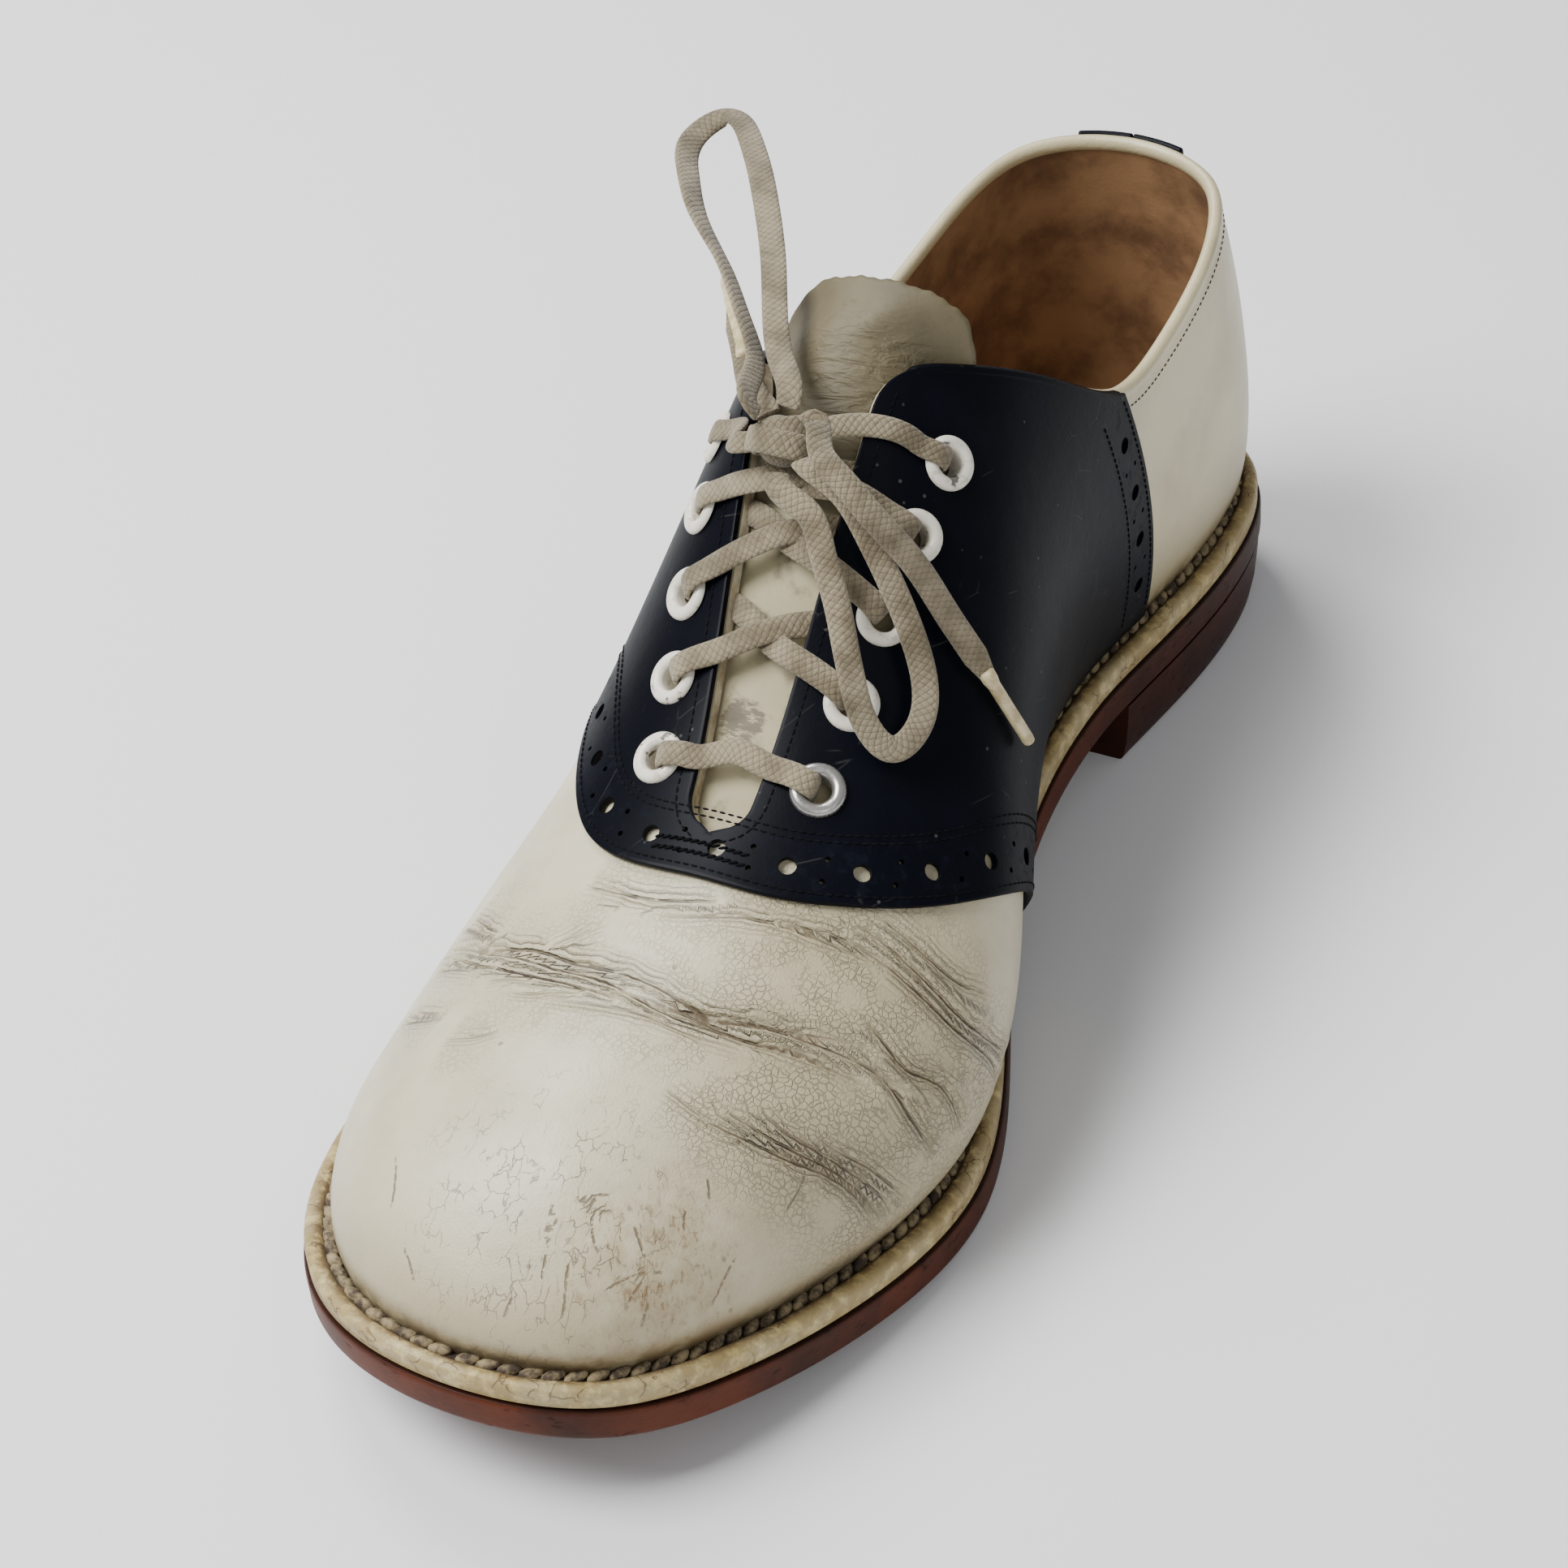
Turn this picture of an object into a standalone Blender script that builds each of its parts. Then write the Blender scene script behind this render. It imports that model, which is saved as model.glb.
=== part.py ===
"""Laced saddle shoe for the right foot, as separate solid pieces.

The toe points to -Y, the inner (medial) side of the foot is +X and the floor is z = 0.
Sizes in this file are millimetres, and MM turns them into metres.
"""
import math

import bmesh
import bpy
import numpy as np
from mathutils import Matrix, Vector

MM = 0.001
GAP = 0.3                      # free space between two neighbouring pieces
MEDIAL, LATERAL = 1, -1

# Sole: heights of its layers and the shape of its underside
OUTSOLE_THICKNESS = 6.6
WELT_THICKNESS = 4.4
INSOLE_ABOVE_WELT = 1.0
HEEL_LIFT = 14.0
TOE_SPRING = 19.8              # rise of the tread after SPRING_RUN
SPRING_START, SPRING_RUN = -49.0, 100.0
SHANK_START, SHANK_END = -28.0, 60.0
HEEL_BREAST = 62.0
HEEL_BOTTOM_INSET = 2.0
EDGE_ROUND = 1.2
WELT_INSET, WELT_INNER_INSET, INSOLE_INSET = 0.7, 8.8, 9.1

# Upper: where the fans of sections at the toe and the heel turn, and the wall
TOE_POLE, HEEL_POLE = -99.0, 104.0
SEAM_BLEND = 0.06              # share of the way round over which the two sides become one
UPPER_WALL = 1.9
SADDLE_WALL, SADDLE_OFF = 1.3, 0.4
TAB_WALL = 1.2
OVERLAY_BOTTOM = 0.012         # share up the section at which saddle and heel tab start, clear of the welt
TONGUE_WALL = 2.0
TONGUE_DROP = 2.6              # from the face of the upper to the face of the tongue

# Outline of the outsole from the toe tip round the medial side and back
OUTLINE_COLUMNS = ("x", "y")
OUTLINE = (
    (1.2, -143.4), (24.5, -136.5), (38.2, -117.5), (48.2, -92.0), (53.5, -58.7), (43.3, -24.1), (29.4, 15.7),
    (29.6, 56.3), (35.6, 104.3), (27.6, 133.7), (1.6, 143.4), (-24.0, 133.0), (-33.4, 104.3),
    (-35.8, 56.2), (-41.0, 16.3), (-50.2, -23.6), (-53.5, -64.0), (-47.4, -107.8), (-26.0, -135.8),
)

# Upper by sections along the foot: height of the ridge, its x, and how full the section is.
# Behind the facings the ridge is open and only guides the lean of the quarters.
SECTION_COLUMNS = ("y", "ridge_z", "ridge_x", "medial_square", "lateral_square",
                   "medial_bulge", "lateral_bulge", "bulge_at")
SECTIONS = (
    (-140.0, 43.0, 1.0, 2.30, 2.25, 1.5, 1.0, 0.40),
    (-115.0, 52.0, 1.5, 2.35, 2.20, 2.5, 0.6, 0.40),
    (-90.0, 55.0, 3.0, 2.35, 2.10, 4.5, 0.4, 0.40),
    (-70.0, 58.0, 4.0, 2.35, 2.05, 7.0, 1.4, 0.42),
    (-50.0, 65.5, 4.2, 2.30, 2.00, 9.7, 1.6, 0.44),
    (-30.0, 78.0, 2.4, 2.20, 1.95, 12.5, 0.4, 0.46),
    (-10.0, 97.0, 0.4, 2.20, 1.95, 13.0, 0.4, 0.46),
    (10.0, 116.0, -1.4, 2.25, 1.95, 13.0, 0.8, 0.46),
    (30.0, 131.0, -2.0, 2.20, 1.95, 11.5, 1.2, 0.44),
    (55.0, 143.0, -0.8, 2.10, 2.00, 8.5, 2.0, 0.42),
    (80.0, 147.0, 0.6, 2.00, 2.00, 5.0, 2.6, 0.36),
    (105.0, 143.0, 1.6, 2.00, 2.00, 3.4, 3.2, 0.26),
    (145.0, 140.0, 1.6, 2.00, 2.00, 4.4, 4.4, 0.22),
)

# Feather line, where the upper meets the welt: inset from the outline along each side
FEATHER_COLUMNS = ("share", "medial_inset", "lateral_inset")
FEATHER = (
    (0.00, 5.8, 5.8), (0.15, 6.0, 6.2), (0.35, 6.2, 6.4), (0.60, 6.0, 6.4), (0.85, 5.6, 5.8),
    (1.00, 5.2, 5.2),
)

# Top edge of facings and collar: height above the floor along the foot
TOPLINE_COLUMNS = ("y", "medial_z", "lateral_z")
TOPLINE = (
    (8.0, 119.0, 114.0), (20.0, 114.0, 108.0), (30.0, 108.5, 102.0), (40.0, 101.5, 96.0),
    (50.0, 93.5, 90.0), (60.0, 86.5, 85.0), (70.0, 83.0, 82.5), (85.0, 83.0, 82.5),
    (105.0, 86.0, 86.0), (125.0, 90.5, 90.5), (145.0, 93.5, 93.5),
)
TOPLINE_ROUND = 7.0
TOPLINE_LOW = 60.0             # the collar, not the slot, ends the leather behind this

# Throat: the slot between the facings
THROAT_FRONT, THROAT_ROUND = -51.0, 5.0
THROAT_HALF_FRONT, THROAT_BACK = 5.0, 15.0
THROAT_HALF_BACK = {MEDIAL: 9.5, LATERAL: 12.0}

# Saddle: station of its front and rear edges by share of the way up the section
SADDLE_COLUMNS = ("share_up", "medial_front_y", "lateral_front_y", "rear_y")
SADDLE = (
    (0.00, -8.0, 2.0, 72.0), (0.15, -14.0, -3.0, 68.0), (0.30, -25.0, -11.0, 62.0),
    (0.50, -43.0, -29.0, 55.5), (0.70, -54.5, -51.0, 53.5), (0.85, -58.5, -58.0, 53.0),
    (1.00, -59.0, -59.0, 53.0),
)

# Heel tab: half width by height
TAB_COLUMNS = ("z", "half_width")
TAB = ((24.0, 9.0), (45.0, 8.0), (65.0, 9.0), (80.0, 12.0), (95.0, 14.0))

# Tongue: where it starts under the vamp, where its end lies at the middle, and its corners
TONGUE_ROOT, TONGUE_END = -58.0, 27.0
TONGUE_HALF_ROOT, TONGUE_HALF_END = 19.0, 26.5
TONGUE_END_SAG, TONGUE_CORNER, TONGUE_CORNER_POWER = 5.0, 13.0, 8

# Eyelets, five to a side, from the front of the throat to its back
EYELET_COLUMNS = ("row", "medial_y", "medial_from_ridge", "lateral_y", "lateral_from_ridge")
EYELETS = (
    (5, -39.5, 14.8, -40.5, 13.4), (4, -25.5, 16.3, -28.0, 14.8), (3, -12.8, 17.9, -16.0, 16.2),
    (2, -0.5, 19.4, -3.5, 17.6), (1, 11.5, 20.8, 9.0, 19.0),
)
EYELET_RADIUS, EYELET_BORE_RADIUS, EYELET_HEIGHT = 4.8, 2.4, 1.3

# Lace: height of its centre over the upper at an eyelet, on a facing and over the slot
LACE_DIAMETER, AGLET_DIAMETER = 3.6, 2.6
LIFT_EYELET, LIFT_FACING, LIFT_SLOT = 5.6, 4.3, 1.3
LIFT_BAR, LIFT_STRAND_END = 3.4, 0.9
CROSSINGS = {4: -23.0, 3: -11.0, 2: -4.0}       # row of eyelets to the y where its strands cross
STRAND_RUN_ON = 3.5                             # how far past the crossing a strand still runs
KNOT_CENTRE, KNOT_RADII, KNOT_OFF = (-3.0, -4.0, 110.6), (5.5, 5.0, 4.6), 0.9

# Bow: how each cord leaves the knot, its own points, and how it comes back to the knot
LOOP_HANGING = {
    "leave": (0.30, -0.85, -0.42), "back": (0.85, -0.52, -0.05),
    "route": ((5.9, -13.2, 104.7), (10.4, -17.2, 100.2), (14.3, -21.3, 95.6), (18.2, -26.3, 90.2),
              (21.6, -30.5, 84.7), (24.5, -32.2, 78.9), (28.4, -31.8, 75.3), (30.7, -26.9, 76.4),
              (29.9, -21.5, 80.4), (26.4, -17.9, 87.9), (21.5, -15.2, 96.0), (15.4, -11.8, 103.2),
              (9.5, -9.2, 107.8)),
}
LOOP_STANDING = {
    "leave": (0.05, 0.45, 0.89), "back": (-0.62, -0.05, 0.78),
    "route": ((-7.2, 6.0, 119.0), (-12.6, 14.6, 121.5), (-18.4, 25.9, 124.5), (-25.7, 38.1, 127.0),
              (-36.5, 53.8, 128.5), (-44.9, 60.3, 128.5), (-47.9, 54.7, 127.5), (-44.3, 44.0, 126.5),
              (-36.6, 33.3, 125.0), (-27.5, 24.7, 122.5), (-19.1, 15.2, 119.5), (-12.2, 5.5, 117.0)),
}
END_MEDIAL = {
    "leave": (0.78, 0.05, 0.62),
    "route": ((7.0, -9.0, 115.0), (12.7, -13.0, 112.8), (18.4, -14.0, 107.6), (24.2, -11.8, 98.3),
              (28.8, -10.0, 87.8), (32.6, -9.2, 80.5), (34.9, -9.2, 76.8)),
    "tip": (41.8, -7.4, 62.0),
}
END_LATERAL = {
    "leave": (-0.70, 0.68, 0.20),
    "route": ((-12.6, 5.0, 112.3), (-18.0, 12.5, 113.2)),
    "tip": (-30.4, 29.8, 115.8),
}


def column(table, columns, name):
    """One named column of a table as an array."""
    return np.array([row[columns.index(name)] for row in table], float)


def smooth_curve(knots, values):
    """A function that runs one natural cubic curve through the values at the knots."""
    step = np.diff(knots)
    size = len(knots)
    system, right = np.eye(size), np.zeros(size)
    for i in range(1, size - 1):
        system[i, i - 1:i + 2] = step[i - 1], 2 * (step[i - 1] + step[i]), step[i]
        right[i] = 6 * ((values[i + 1] - values[i]) / step[i] - (values[i] - values[i - 1]) / step[i - 1])
    bend = np.linalg.solve(system, right)

    def evaluate(x):
        x = np.clip(x, knots[0], knots[-1])
        i = np.clip(np.searchsorted(knots, x) - 1, 0, size - 2)
        before, after, h = x - knots[i], knots[i + 1] - x, step[i]
        return ((bend[i] * after ** 3 + bend[i + 1] * before ** 3) / (6 * h)
                + (values[i] / h - bend[i] * h / 6) * after
                + (values[i + 1] / h - bend[i + 1] * h / 6) * before)
    return evaluate


def table_curve(table, columns, key, name):
    """A smooth function of one column of a table against its key column."""
    return smooth_curve(column(table, columns, key), column(table, columns, name))


def smooth_maximum(a, b, radius):
    """The larger of two values, with the corner between them rounded."""
    return np.maximum(a, b) + np.maximum(radius - np.abs(a - b), 0.0) ** 2 / (4 * radius)


def outline_sides(count=400):
    """Dense points and inward normals of the outline, by side and share from toe tip to heel back."""
    points = np.array(OUTLINE, float)
    ring = np.vstack([points, points, points, points[:1]])
    run = np.concatenate([[0.0], np.cumsum(np.linalg.norm(np.diff(ring, axis=0), axis=1))])
    x_at, y_at = smooth_curve(run, ring[:, 0]), smooth_curve(run, ring[:, 1])
    size = len(points)
    heel = next(i for i in range(size) if points[i, 1] == points[:, 1].max())
    sides = {}
    for side, first, last in ((MEDIAL, size, size + heel), (LATERAL, 2 * size, size + heel)):
        dense = np.linspace(run[first], run[last], 4 * count)
        path = np.stack([x_at(dense), y_at(dense)], 1)
        length = np.concatenate([[0.0], np.cumsum(np.linalg.norm(np.diff(path, axis=0), axis=1))])
        share = length / length[-1]
        even = np.linspace(0.0, 1.0, count)
        path = np.stack([np.interp(even, share, path[:, 0]), np.interp(even, share, path[:, 1])], 1)
        tangent = np.gradient(path, axis=0)
        tangent[0] = tangent[-1] = (side, 0.0)
        tangent[-1] = (-side, 0.0)
        tangent /= np.linalg.norm(tangent, axis=1)[:, None]
        normal = side * np.stack([-tangent[:, 1], tangent[:, 0]], 1)
        sides[side] = {"share": even, "path": path, "normal": normal, "length": length[-1]}
    return sides


SIDES = outline_sides()


def outline_point(side, share, inset=0.0):
    """Plan position on the outline of one side, moved inward."""
    data = SIDES[side]
    x, y = (np.interp(share, data["share"], data["path"][:, i]) for i in (0, 1))
    nx, ny = (np.interp(share, data["share"], data["normal"][:, i]) for i in (0, 1))
    return x + nx * inset, y + ny * inset


def share_at(side, y):
    """Share along one side at which the outline passes a given y."""
    data = SIDES[side]
    return np.interp(y, data["path"][:, 1], data["share"])


def tread_height(y):
    """Underside of the outsole: toe spring, flat forefoot, shank and heel seat."""
    spring = TOE_SPRING * np.clip((SPRING_START - y) / SPRING_RUN, 0.0, None) ** 2
    rise = np.clip((y - SHANK_START) / (SHANK_END - SHANK_START), 0.0, 1.0)
    return spring + HEEL_LIFT * rise * rise * (3 - 2 * rise)


def welt_bottom(y):
    return tread_height(y) + OUTSOLE_THICKNESS + GAP


def welt_top(y):
    return welt_bottom(y) + WELT_THICKNESS


FEATHER_INSET = {
    MEDIAL: table_curve(FEATHER, FEATHER_COLUMNS, "share", "medial_inset"),
    LATERAL: table_curve(FEATHER, FEATHER_COLUMNS, "share", "lateral_inset"),
}
RIDGE_Z = table_curve(SECTIONS, SECTION_COLUMNS, "y", "ridge_z")
RIDGE_X = table_curve(SECTIONS, SECTION_COLUMNS, "y", "ridge_x")
SQUARENESS = {
    MEDIAL: table_curve(SECTIONS, SECTION_COLUMNS, "y", "medial_square"),
    LATERAL: table_curve(SECTIONS, SECTION_COLUMNS, "y", "lateral_square"),
}
BULGE = {
    MEDIAL: table_curve(SECTIONS, SECTION_COLUMNS, "y", "medial_bulge"),
    LATERAL: table_curve(SECTIONS, SECTION_COLUMNS, "y", "lateral_bulge"),
}
BULGE_AT = table_curve(SECTIONS, SECTION_COLUMNS, "y", "bulge_at")
TOPLINE_Z = {
    MEDIAL: table_curve(TOPLINE, TOPLINE_COLUMNS, "y", "medial_z"),
    LATERAL: table_curve(TOPLINE, TOPLINE_COLUMNS, "y", "lateral_z"),
}


def mean_y(share):
    """Station of a section: the mean y of its two feather points."""
    return 0.5 * (outline_point(MEDIAL, share)[1] + outline_point(LATERAL, share)[1])


STATION_SHARES = np.linspace(0.0, 1.0, 400)
STATION_YS = mean_y(STATION_SHARES)


def share_of_station(y):
    return np.interp(y, STATION_YS, STATION_SHARES)


def side_value(tables, side, y, share):
    """One side's value from a pair of tables, drawn to the mean where the sides meet at toe and heel."""
    mean = (tables[MEDIAL](y) + tables[LATERAL](y)) / 2
    apart = np.clip(np.minimum(share, 1.0 - share) / SEAM_BLEND, 0.0, 1.0)
    return mean + (tables[side](y) - mean) * apart


def upper_point(side, share, up):
    """Outer face of the upper: share runs from toe to heel, up from the feather line to the ridge."""
    foot_x, foot_y = outline_point(side, share, FEATHER_INSET[side](share))
    foot_z = welt_top(foot_y) + GAP
    centre_y = np.clip(mean_y(share), TOE_POLE, HEEL_POLE)
    centre_x = RIDGE_X(centre_y)
    reach_x, reach_y = centre_x - foot_x, centre_y - foot_y
    reach = np.hypot(reach_x, reach_y)
    angle = up * math.pi / 2
    power = 2.0 / side_value(SQUARENESS, side, foot_y, share)
    inward = 1.0 - np.cos(angle) ** power
    rise = np.sin(angle) ** power
    bell = np.sin(math.pi * np.clip(rise, 0.0, 1.0) ** (math.log(0.5) / np.log(BULGE_AT(foot_y))))
    along = inward - side_value(BULGE, side, foot_y, share) * bell / reach
    x, y = foot_x + reach_x * along, foot_y + reach_y * along
    z = foot_z + (RIDGE_Z(y) - foot_z) * rise
    return np.stack(np.broadcast_arrays(x, y, z), -1)


def throat_half_gap(side, y):
    """Half width of the slot between the facings, zero in front of it."""
    into = np.clip((y - THROAT_FRONT) / THROAT_ROUND, 0.0, 1.0)
    widen = np.clip((y - THROAT_FRONT) / (THROAT_BACK - THROAT_FRONT), 0.0, 1.0)
    half = THROAT_HALF_FRONT + (THROAT_HALF_BACK[side] - THROAT_HALF_FRONT) * widen
    return half * np.sqrt(1.0 - (1.0 - into) ** 2)


def top_share(side, share_along):
    """How far up the section its leather goes: the ridge, the facing or the collar.

    share_along gives the toe-to-heel share for each share up, so slanted sections work too.
    """
    ups = np.linspace(0.0, 1.0, 400)
    shares = share_along(ups)
    points = upper_point(side, shares, ups)
    centre_x = RIDGE_X(np.clip(mean_y(shares), TOE_POLE, HEEL_POLE))
    over_collar = points[:, 2] - TOPLINE_Z[side](points[:, 1])
    over_collar = np.where(points[:, 1] < TOPLINE[0][0], -99.0, over_collar)
    into_slot = throat_half_gap(side, points[:, 1]) - np.abs(points[:, 0] - centre_x)
    off_slot = (points[:, 1] < THROAT_FRONT) | (points[:, 1] > TOPLINE_LOW)
    into_slot = np.where(off_slot, -99.0, into_slot)
    over = smooth_maximum(over_collar, into_slot, TOPLINE_ROUND)
    crossing = np.nonzero(over >= 0.0)[0]
    if len(crossing) == 0 or crossing[0] == 0:
        return 1.0
    i = crossing[0]
    return ups[i - 1] + (ups[i] - ups[i - 1]) * over[i - 1] / (over[i - 1] - over[i])


def material(name, color, roughness, metallic=0.0):
    made = bpy.data.materials.new(name)
    made.use_nodes = True
    shader = made.node_tree.nodes["Principled BSDF"]
    shader.inputs["Base Color"].default_value = (*color, 1.0)
    shader.inputs["Roughness"].default_value = roughness
    shader.inputs["Metallic"].default_value = metallic
    return made


def mesh_object(name, bm, collection, finish):
    """Turn a bmesh into a smooth-shaded object with its material."""
    bmesh.ops.remove_doubles(bm, verts=bm.verts, dist=0.02 * MM)
    bmesh.ops.dissolve_degenerate(bm, edges=bm.edges, dist=0.01 * MM)
    bmesh.ops.recalc_face_normals(bm, faces=bm.faces)
    mesh = bpy.data.meshes.new(name)
    bm.to_mesh(mesh)
    bm.free()
    mesh.shade_smooth()
    mesh.set_sharp_from_angle(angle=math.radians(40))
    made = bpy.data.objects.new(name, mesh)
    made.data.materials.append(finish)
    collection.objects.link(made)
    return made


def loft(bm, rows, closed_rows=False, closed_loft=False):
    """Faces between neighbouring rows of points, given in millimetres."""
    verts = [[bm.verts.new(Vector(point) * MM) for point in row] for row in rows]
    pairs = list(zip(verts, verts[1:] + (verts[:1] if closed_loft else [])))
    for low, high in pairs:
        edges = range(len(low) if closed_rows else len(low) - 1)
        for i in edges:
            j = (i + 1) % len(low)
            bm.faces.new((low[i], low[j], high[j], high[i]))
    return verts


def station_pairs(count, start_y=None):
    """Matching shares on the two sides, from the toe tip, or from a straight line across, to the heel."""
    first = {side: 0.0 if start_y is None else share_at(side, start_y) for side in SIDES}
    for t in np.linspace(0.0, 1.0, count):
        yield {side: first[side] + (1.0 - first[side]) * t for side in SIDES}


def sole_slab(name, levels, collection, finish, count=40, start_y=None):
    """A layer of the sole: each level is an inset and a height as a function of y, from the floor up."""
    bm = bmesh.new()
    rows = []
    for shares in station_pairs(count, start_y):
        ring = {}
        for side in SIDES:
            points = []
            for inset, height in levels:
                x, y = outline_point(side, shares[side], inset)
                if start_y is not None and shares[side] == share_at(side, start_y):
                    y = start_y
                points.append((x, y, height(y)))
            ring[side] = points
        rows.append(ring[MEDIAL] + ring[LATERAL][::-1])
    verts = loft(bm, rows, closed_rows=True)
    if start_y is not None:
        bm.faces.new(verts[0])
    return mesh_object(name, bm, collection, finish)


def add_solidify(piece, thickness, outward):
    wall = piece.modifiers.new("wall", "SOLIDIFY")
    wall.thickness = thickness * MM
    wall.offset = 1.0 if outward else -1.0
    wall.use_even_offset = True


def add_displace(piece, distance):
    shift = piece.modifiers.new("clearance", "DISPLACE")
    shift.mid_level = 0.0
    shift.strength = distance * MM


def make_sole(collection, finishes):
    """Outsole, heel block, welt and insole."""
    sole_slab("outsole", [
        (EDGE_ROUND, tread_height),
        (0.0, lambda y: tread_height(y) + EDGE_ROUND),
        (0.0, lambda y: tread_height(y) + OUTSOLE_THICKNESS - EDGE_ROUND),
        (EDGE_ROUND * 0.5, lambda y: tread_height(y) + OUTSOLE_THICKNESS),
    ], collection, finishes["brick_rubber"])
    sole_slab("heel", [
        (HEEL_BOTTOM_INSET, lambda y: 0.0 * y),
        (HEEL_BOTTOM_INSET * 0.5, lambda y: 0.0 * y + EDGE_ROUND),
        (GAP, lambda y: 0.0 * y + HEEL_LIFT - GAP),
    ], collection, finishes["brick_rubber"], count=18, start_y=HEEL_BREAST)
    bm = bmesh.new()
    around = np.linspace(0.0, 1.0, 33)
    ring = [(MEDIAL, u) for u in around] + [(LATERAL, u) for u in around[-2:0:-1]]
    rows = []
    for side, share in ring:
        row = []
        for inset, height in ((WELT_INSET, welt_bottom),
                              (WELT_INSET, lambda y: welt_top(y) - EDGE_ROUND),
                              (WELT_INSET + EDGE_ROUND, welt_top),
                              (WELT_INNER_INSET, welt_top),
                              (WELT_INNER_INSET, welt_bottom)):
            x, y = outline_point(side, share, inset)
            row.append((x, y, height(y)))
        rows.append(row)
    loft(bm, rows, closed_rows=True, closed_loft=True)
    mesh_object("welt", bm, collection, finishes["cream_welt"])
    sole_slab("insole", [
        (INSOLE_INSET, welt_bottom),
        (INSOLE_INSET, lambda y: welt_top(y) + INSOLE_ABOVE_WELT),
    ], collection, finishes["tan_leather"], count=32)


def upper_stations():
    """Shares of the sections of the upper, closest where the throat starts."""
    toe = np.linspace(0.0, share_of_station(TOE_POLE), 9)
    heel = np.linspace(share_of_station(HEEL_POLE), 1.0, 8)
    middle = np.array([-90, -80, -71, -62.5, -55.5, THROAT_FRONT, THROAT_FRONT + 0.7,
                       THROAT_FRONT + 2.4, THROAT_FRONT + 5, -38, -28, -18, -8, 1, 8, 14, 20, 27,
                       34, 42, 50, 58, 67, 78, 91])
    return np.concatenate([toe, share_of_station(middle), heel])


def surface_rows(side, share_functions, levels, bottom=0.0):
    """Rows of points on the upper's face, each from its bottom share up to its top edge."""
    rows = []
    for share_along in share_functions:
        top = top_share(side, share_along)
        ups = bottom + (top - bottom) * np.linspace(0.0, 1.0, levels)
        rows.append(upper_point(side, share_along(ups), ups))
    return rows


def make_upper(collection, finishes):
    bm = bmesh.new()
    for side in (MEDIAL, LATERAL):
        sections = [lambda ups, share=share: np.full_like(ups, share) for share in upper_stations()]
        loft(bm, surface_rows(side, sections, levels=13))
    piece = mesh_object("upper", bm, collection, finishes["white_leather"])
    add_solidify(piece, UPPER_WALL, outward=False)


def make_saddle(collection, finishes):
    """Overlay over the instep, from welt to welt, closed in front of the throat."""
    rear = table_curve(SADDLE, SADDLE_COLUMNS, "share_up", "rear_y")
    ridge_front, ridge_rear = SADDLE[-1][1], SADDLE[-1][3]
    ridge = np.array([ridge_front, -54.5, THROAT_FRONT, THROAT_FRONT + 0.7, THROAT_FRONT + 2.4,
                      THROAT_FRONT + 5, -40, -33, -25, -16, -7, 1, 8, 15, 22, 29, 36, 43, ridge_rear])
    across = (ridge - ridge_front) / (ridge_rear - ridge_front)
    bm = bmesh.new()
    for side, front_column in ((MEDIAL, "medial_front_y"), (LATERAL, "lateral_front_y")):
        front = table_curve(SADDLE, SADDLE_COLUMNS, "share_up", front_column)
        sections = [lambda ups, t=t, front=front: share_of_station(front(ups) + (rear(ups) - front(ups)) * t)
                    for t in across]
        loft(bm, surface_rows(side, sections, levels=13, bottom=OVERLAY_BOTTOM))
    piece = mesh_object("saddle", bm, collection, finishes["navy_leather"])
    add_displace(piece, SADDLE_OFF)
    add_solidify(piece, SADDLE_WALL, outward=True)


def make_heel_tab(collection, finishes):
    """Strip up the back seam, from the welt to the collar."""
    half_width = table_curve(TAB, TAB_COLUMNS, "z", "half_width")
    bm = bmesh.new()
    for side in (MEDIAL, LATERAL):
        length = SIDES[side]["length"]
        sections = [lambda ups, t=t, side=side, length=length:
                    1.0 - t * half_width(upper_point(side, 1.0, ups)[:, 2]) / length
                    for t in (0.0, 0.5, 1.0)]
        loft(bm, surface_rows(side, sections, levels=12, bottom=OVERLAY_BOTTOM))
    piece = mesh_object("heel_tab", bm, collection, finishes["navy_leather"])
    add_displace(piece, GAP)
    add_solidify(piece, TAB_WALL, outward=True)


def instep_point(side, y, distance):
    """Point and outward normal of the upper's face at a station, a distance from the ridge line."""
    ups = np.linspace(0.2, 1.0, 800)
    share = share_of_station(y)
    points = upper_point(side, np.full_like(ups, share), ups)
    away = np.abs(points[:, 0] - RIDGE_X(y))
    up = np.interp(-distance, -away, ups)
    here = upper_point(side, share, up)
    nudge = 0.004
    along = upper_point(side, share + nudge, up) - upper_point(side, share - nudge, up)
    across = upper_point(side, share, min(up + nudge, 1.0)) - upper_point(side, share, up - nudge)
    normal = np.cross(along, across)
    normal *= np.sign(normal[2]) / np.linalg.norm(normal)
    return here, normal


def make_tongue(collection, finishes):
    """Sheet under the facings that ends a little above them, with rounded corners."""
    bm = bmesh.new()
    rows = []
    for t in (0.0, 0.12, 0.24, 0.36, 0.48, 0.6, 0.7, 0.79, 0.87, 0.94, 1.0):
        half = TONGUE_HALF_ROOT + (TONGUE_HALF_END - TONGUE_HALF_ROOT) * t
        row = []
        for q in np.linspace(-1.0, 1.0, 13):
            end = TONGUE_END + TONGUE_END_SAG * q ** 2 - TONGUE_CORNER * abs(q) ** TONGUE_CORNER_POWER
            y = TONGUE_ROOT + (end - TONGUE_ROOT) * t
            row.append(instep_point(MEDIAL if q > 0 else LATERAL, y, abs(q) * half)[0])
        rows.append(row)
    loft(bm, rows)
    piece = mesh_object("tongue", bm, collection, finishes["grey_leather"])
    if piece.data.polygons[0].normal.z < 0:
        piece.data.flip_normals()
    add_displace(piece, -TONGUE_DROP)
    add_solidify(piece, TONGUE_WALL, outward=False)


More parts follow.
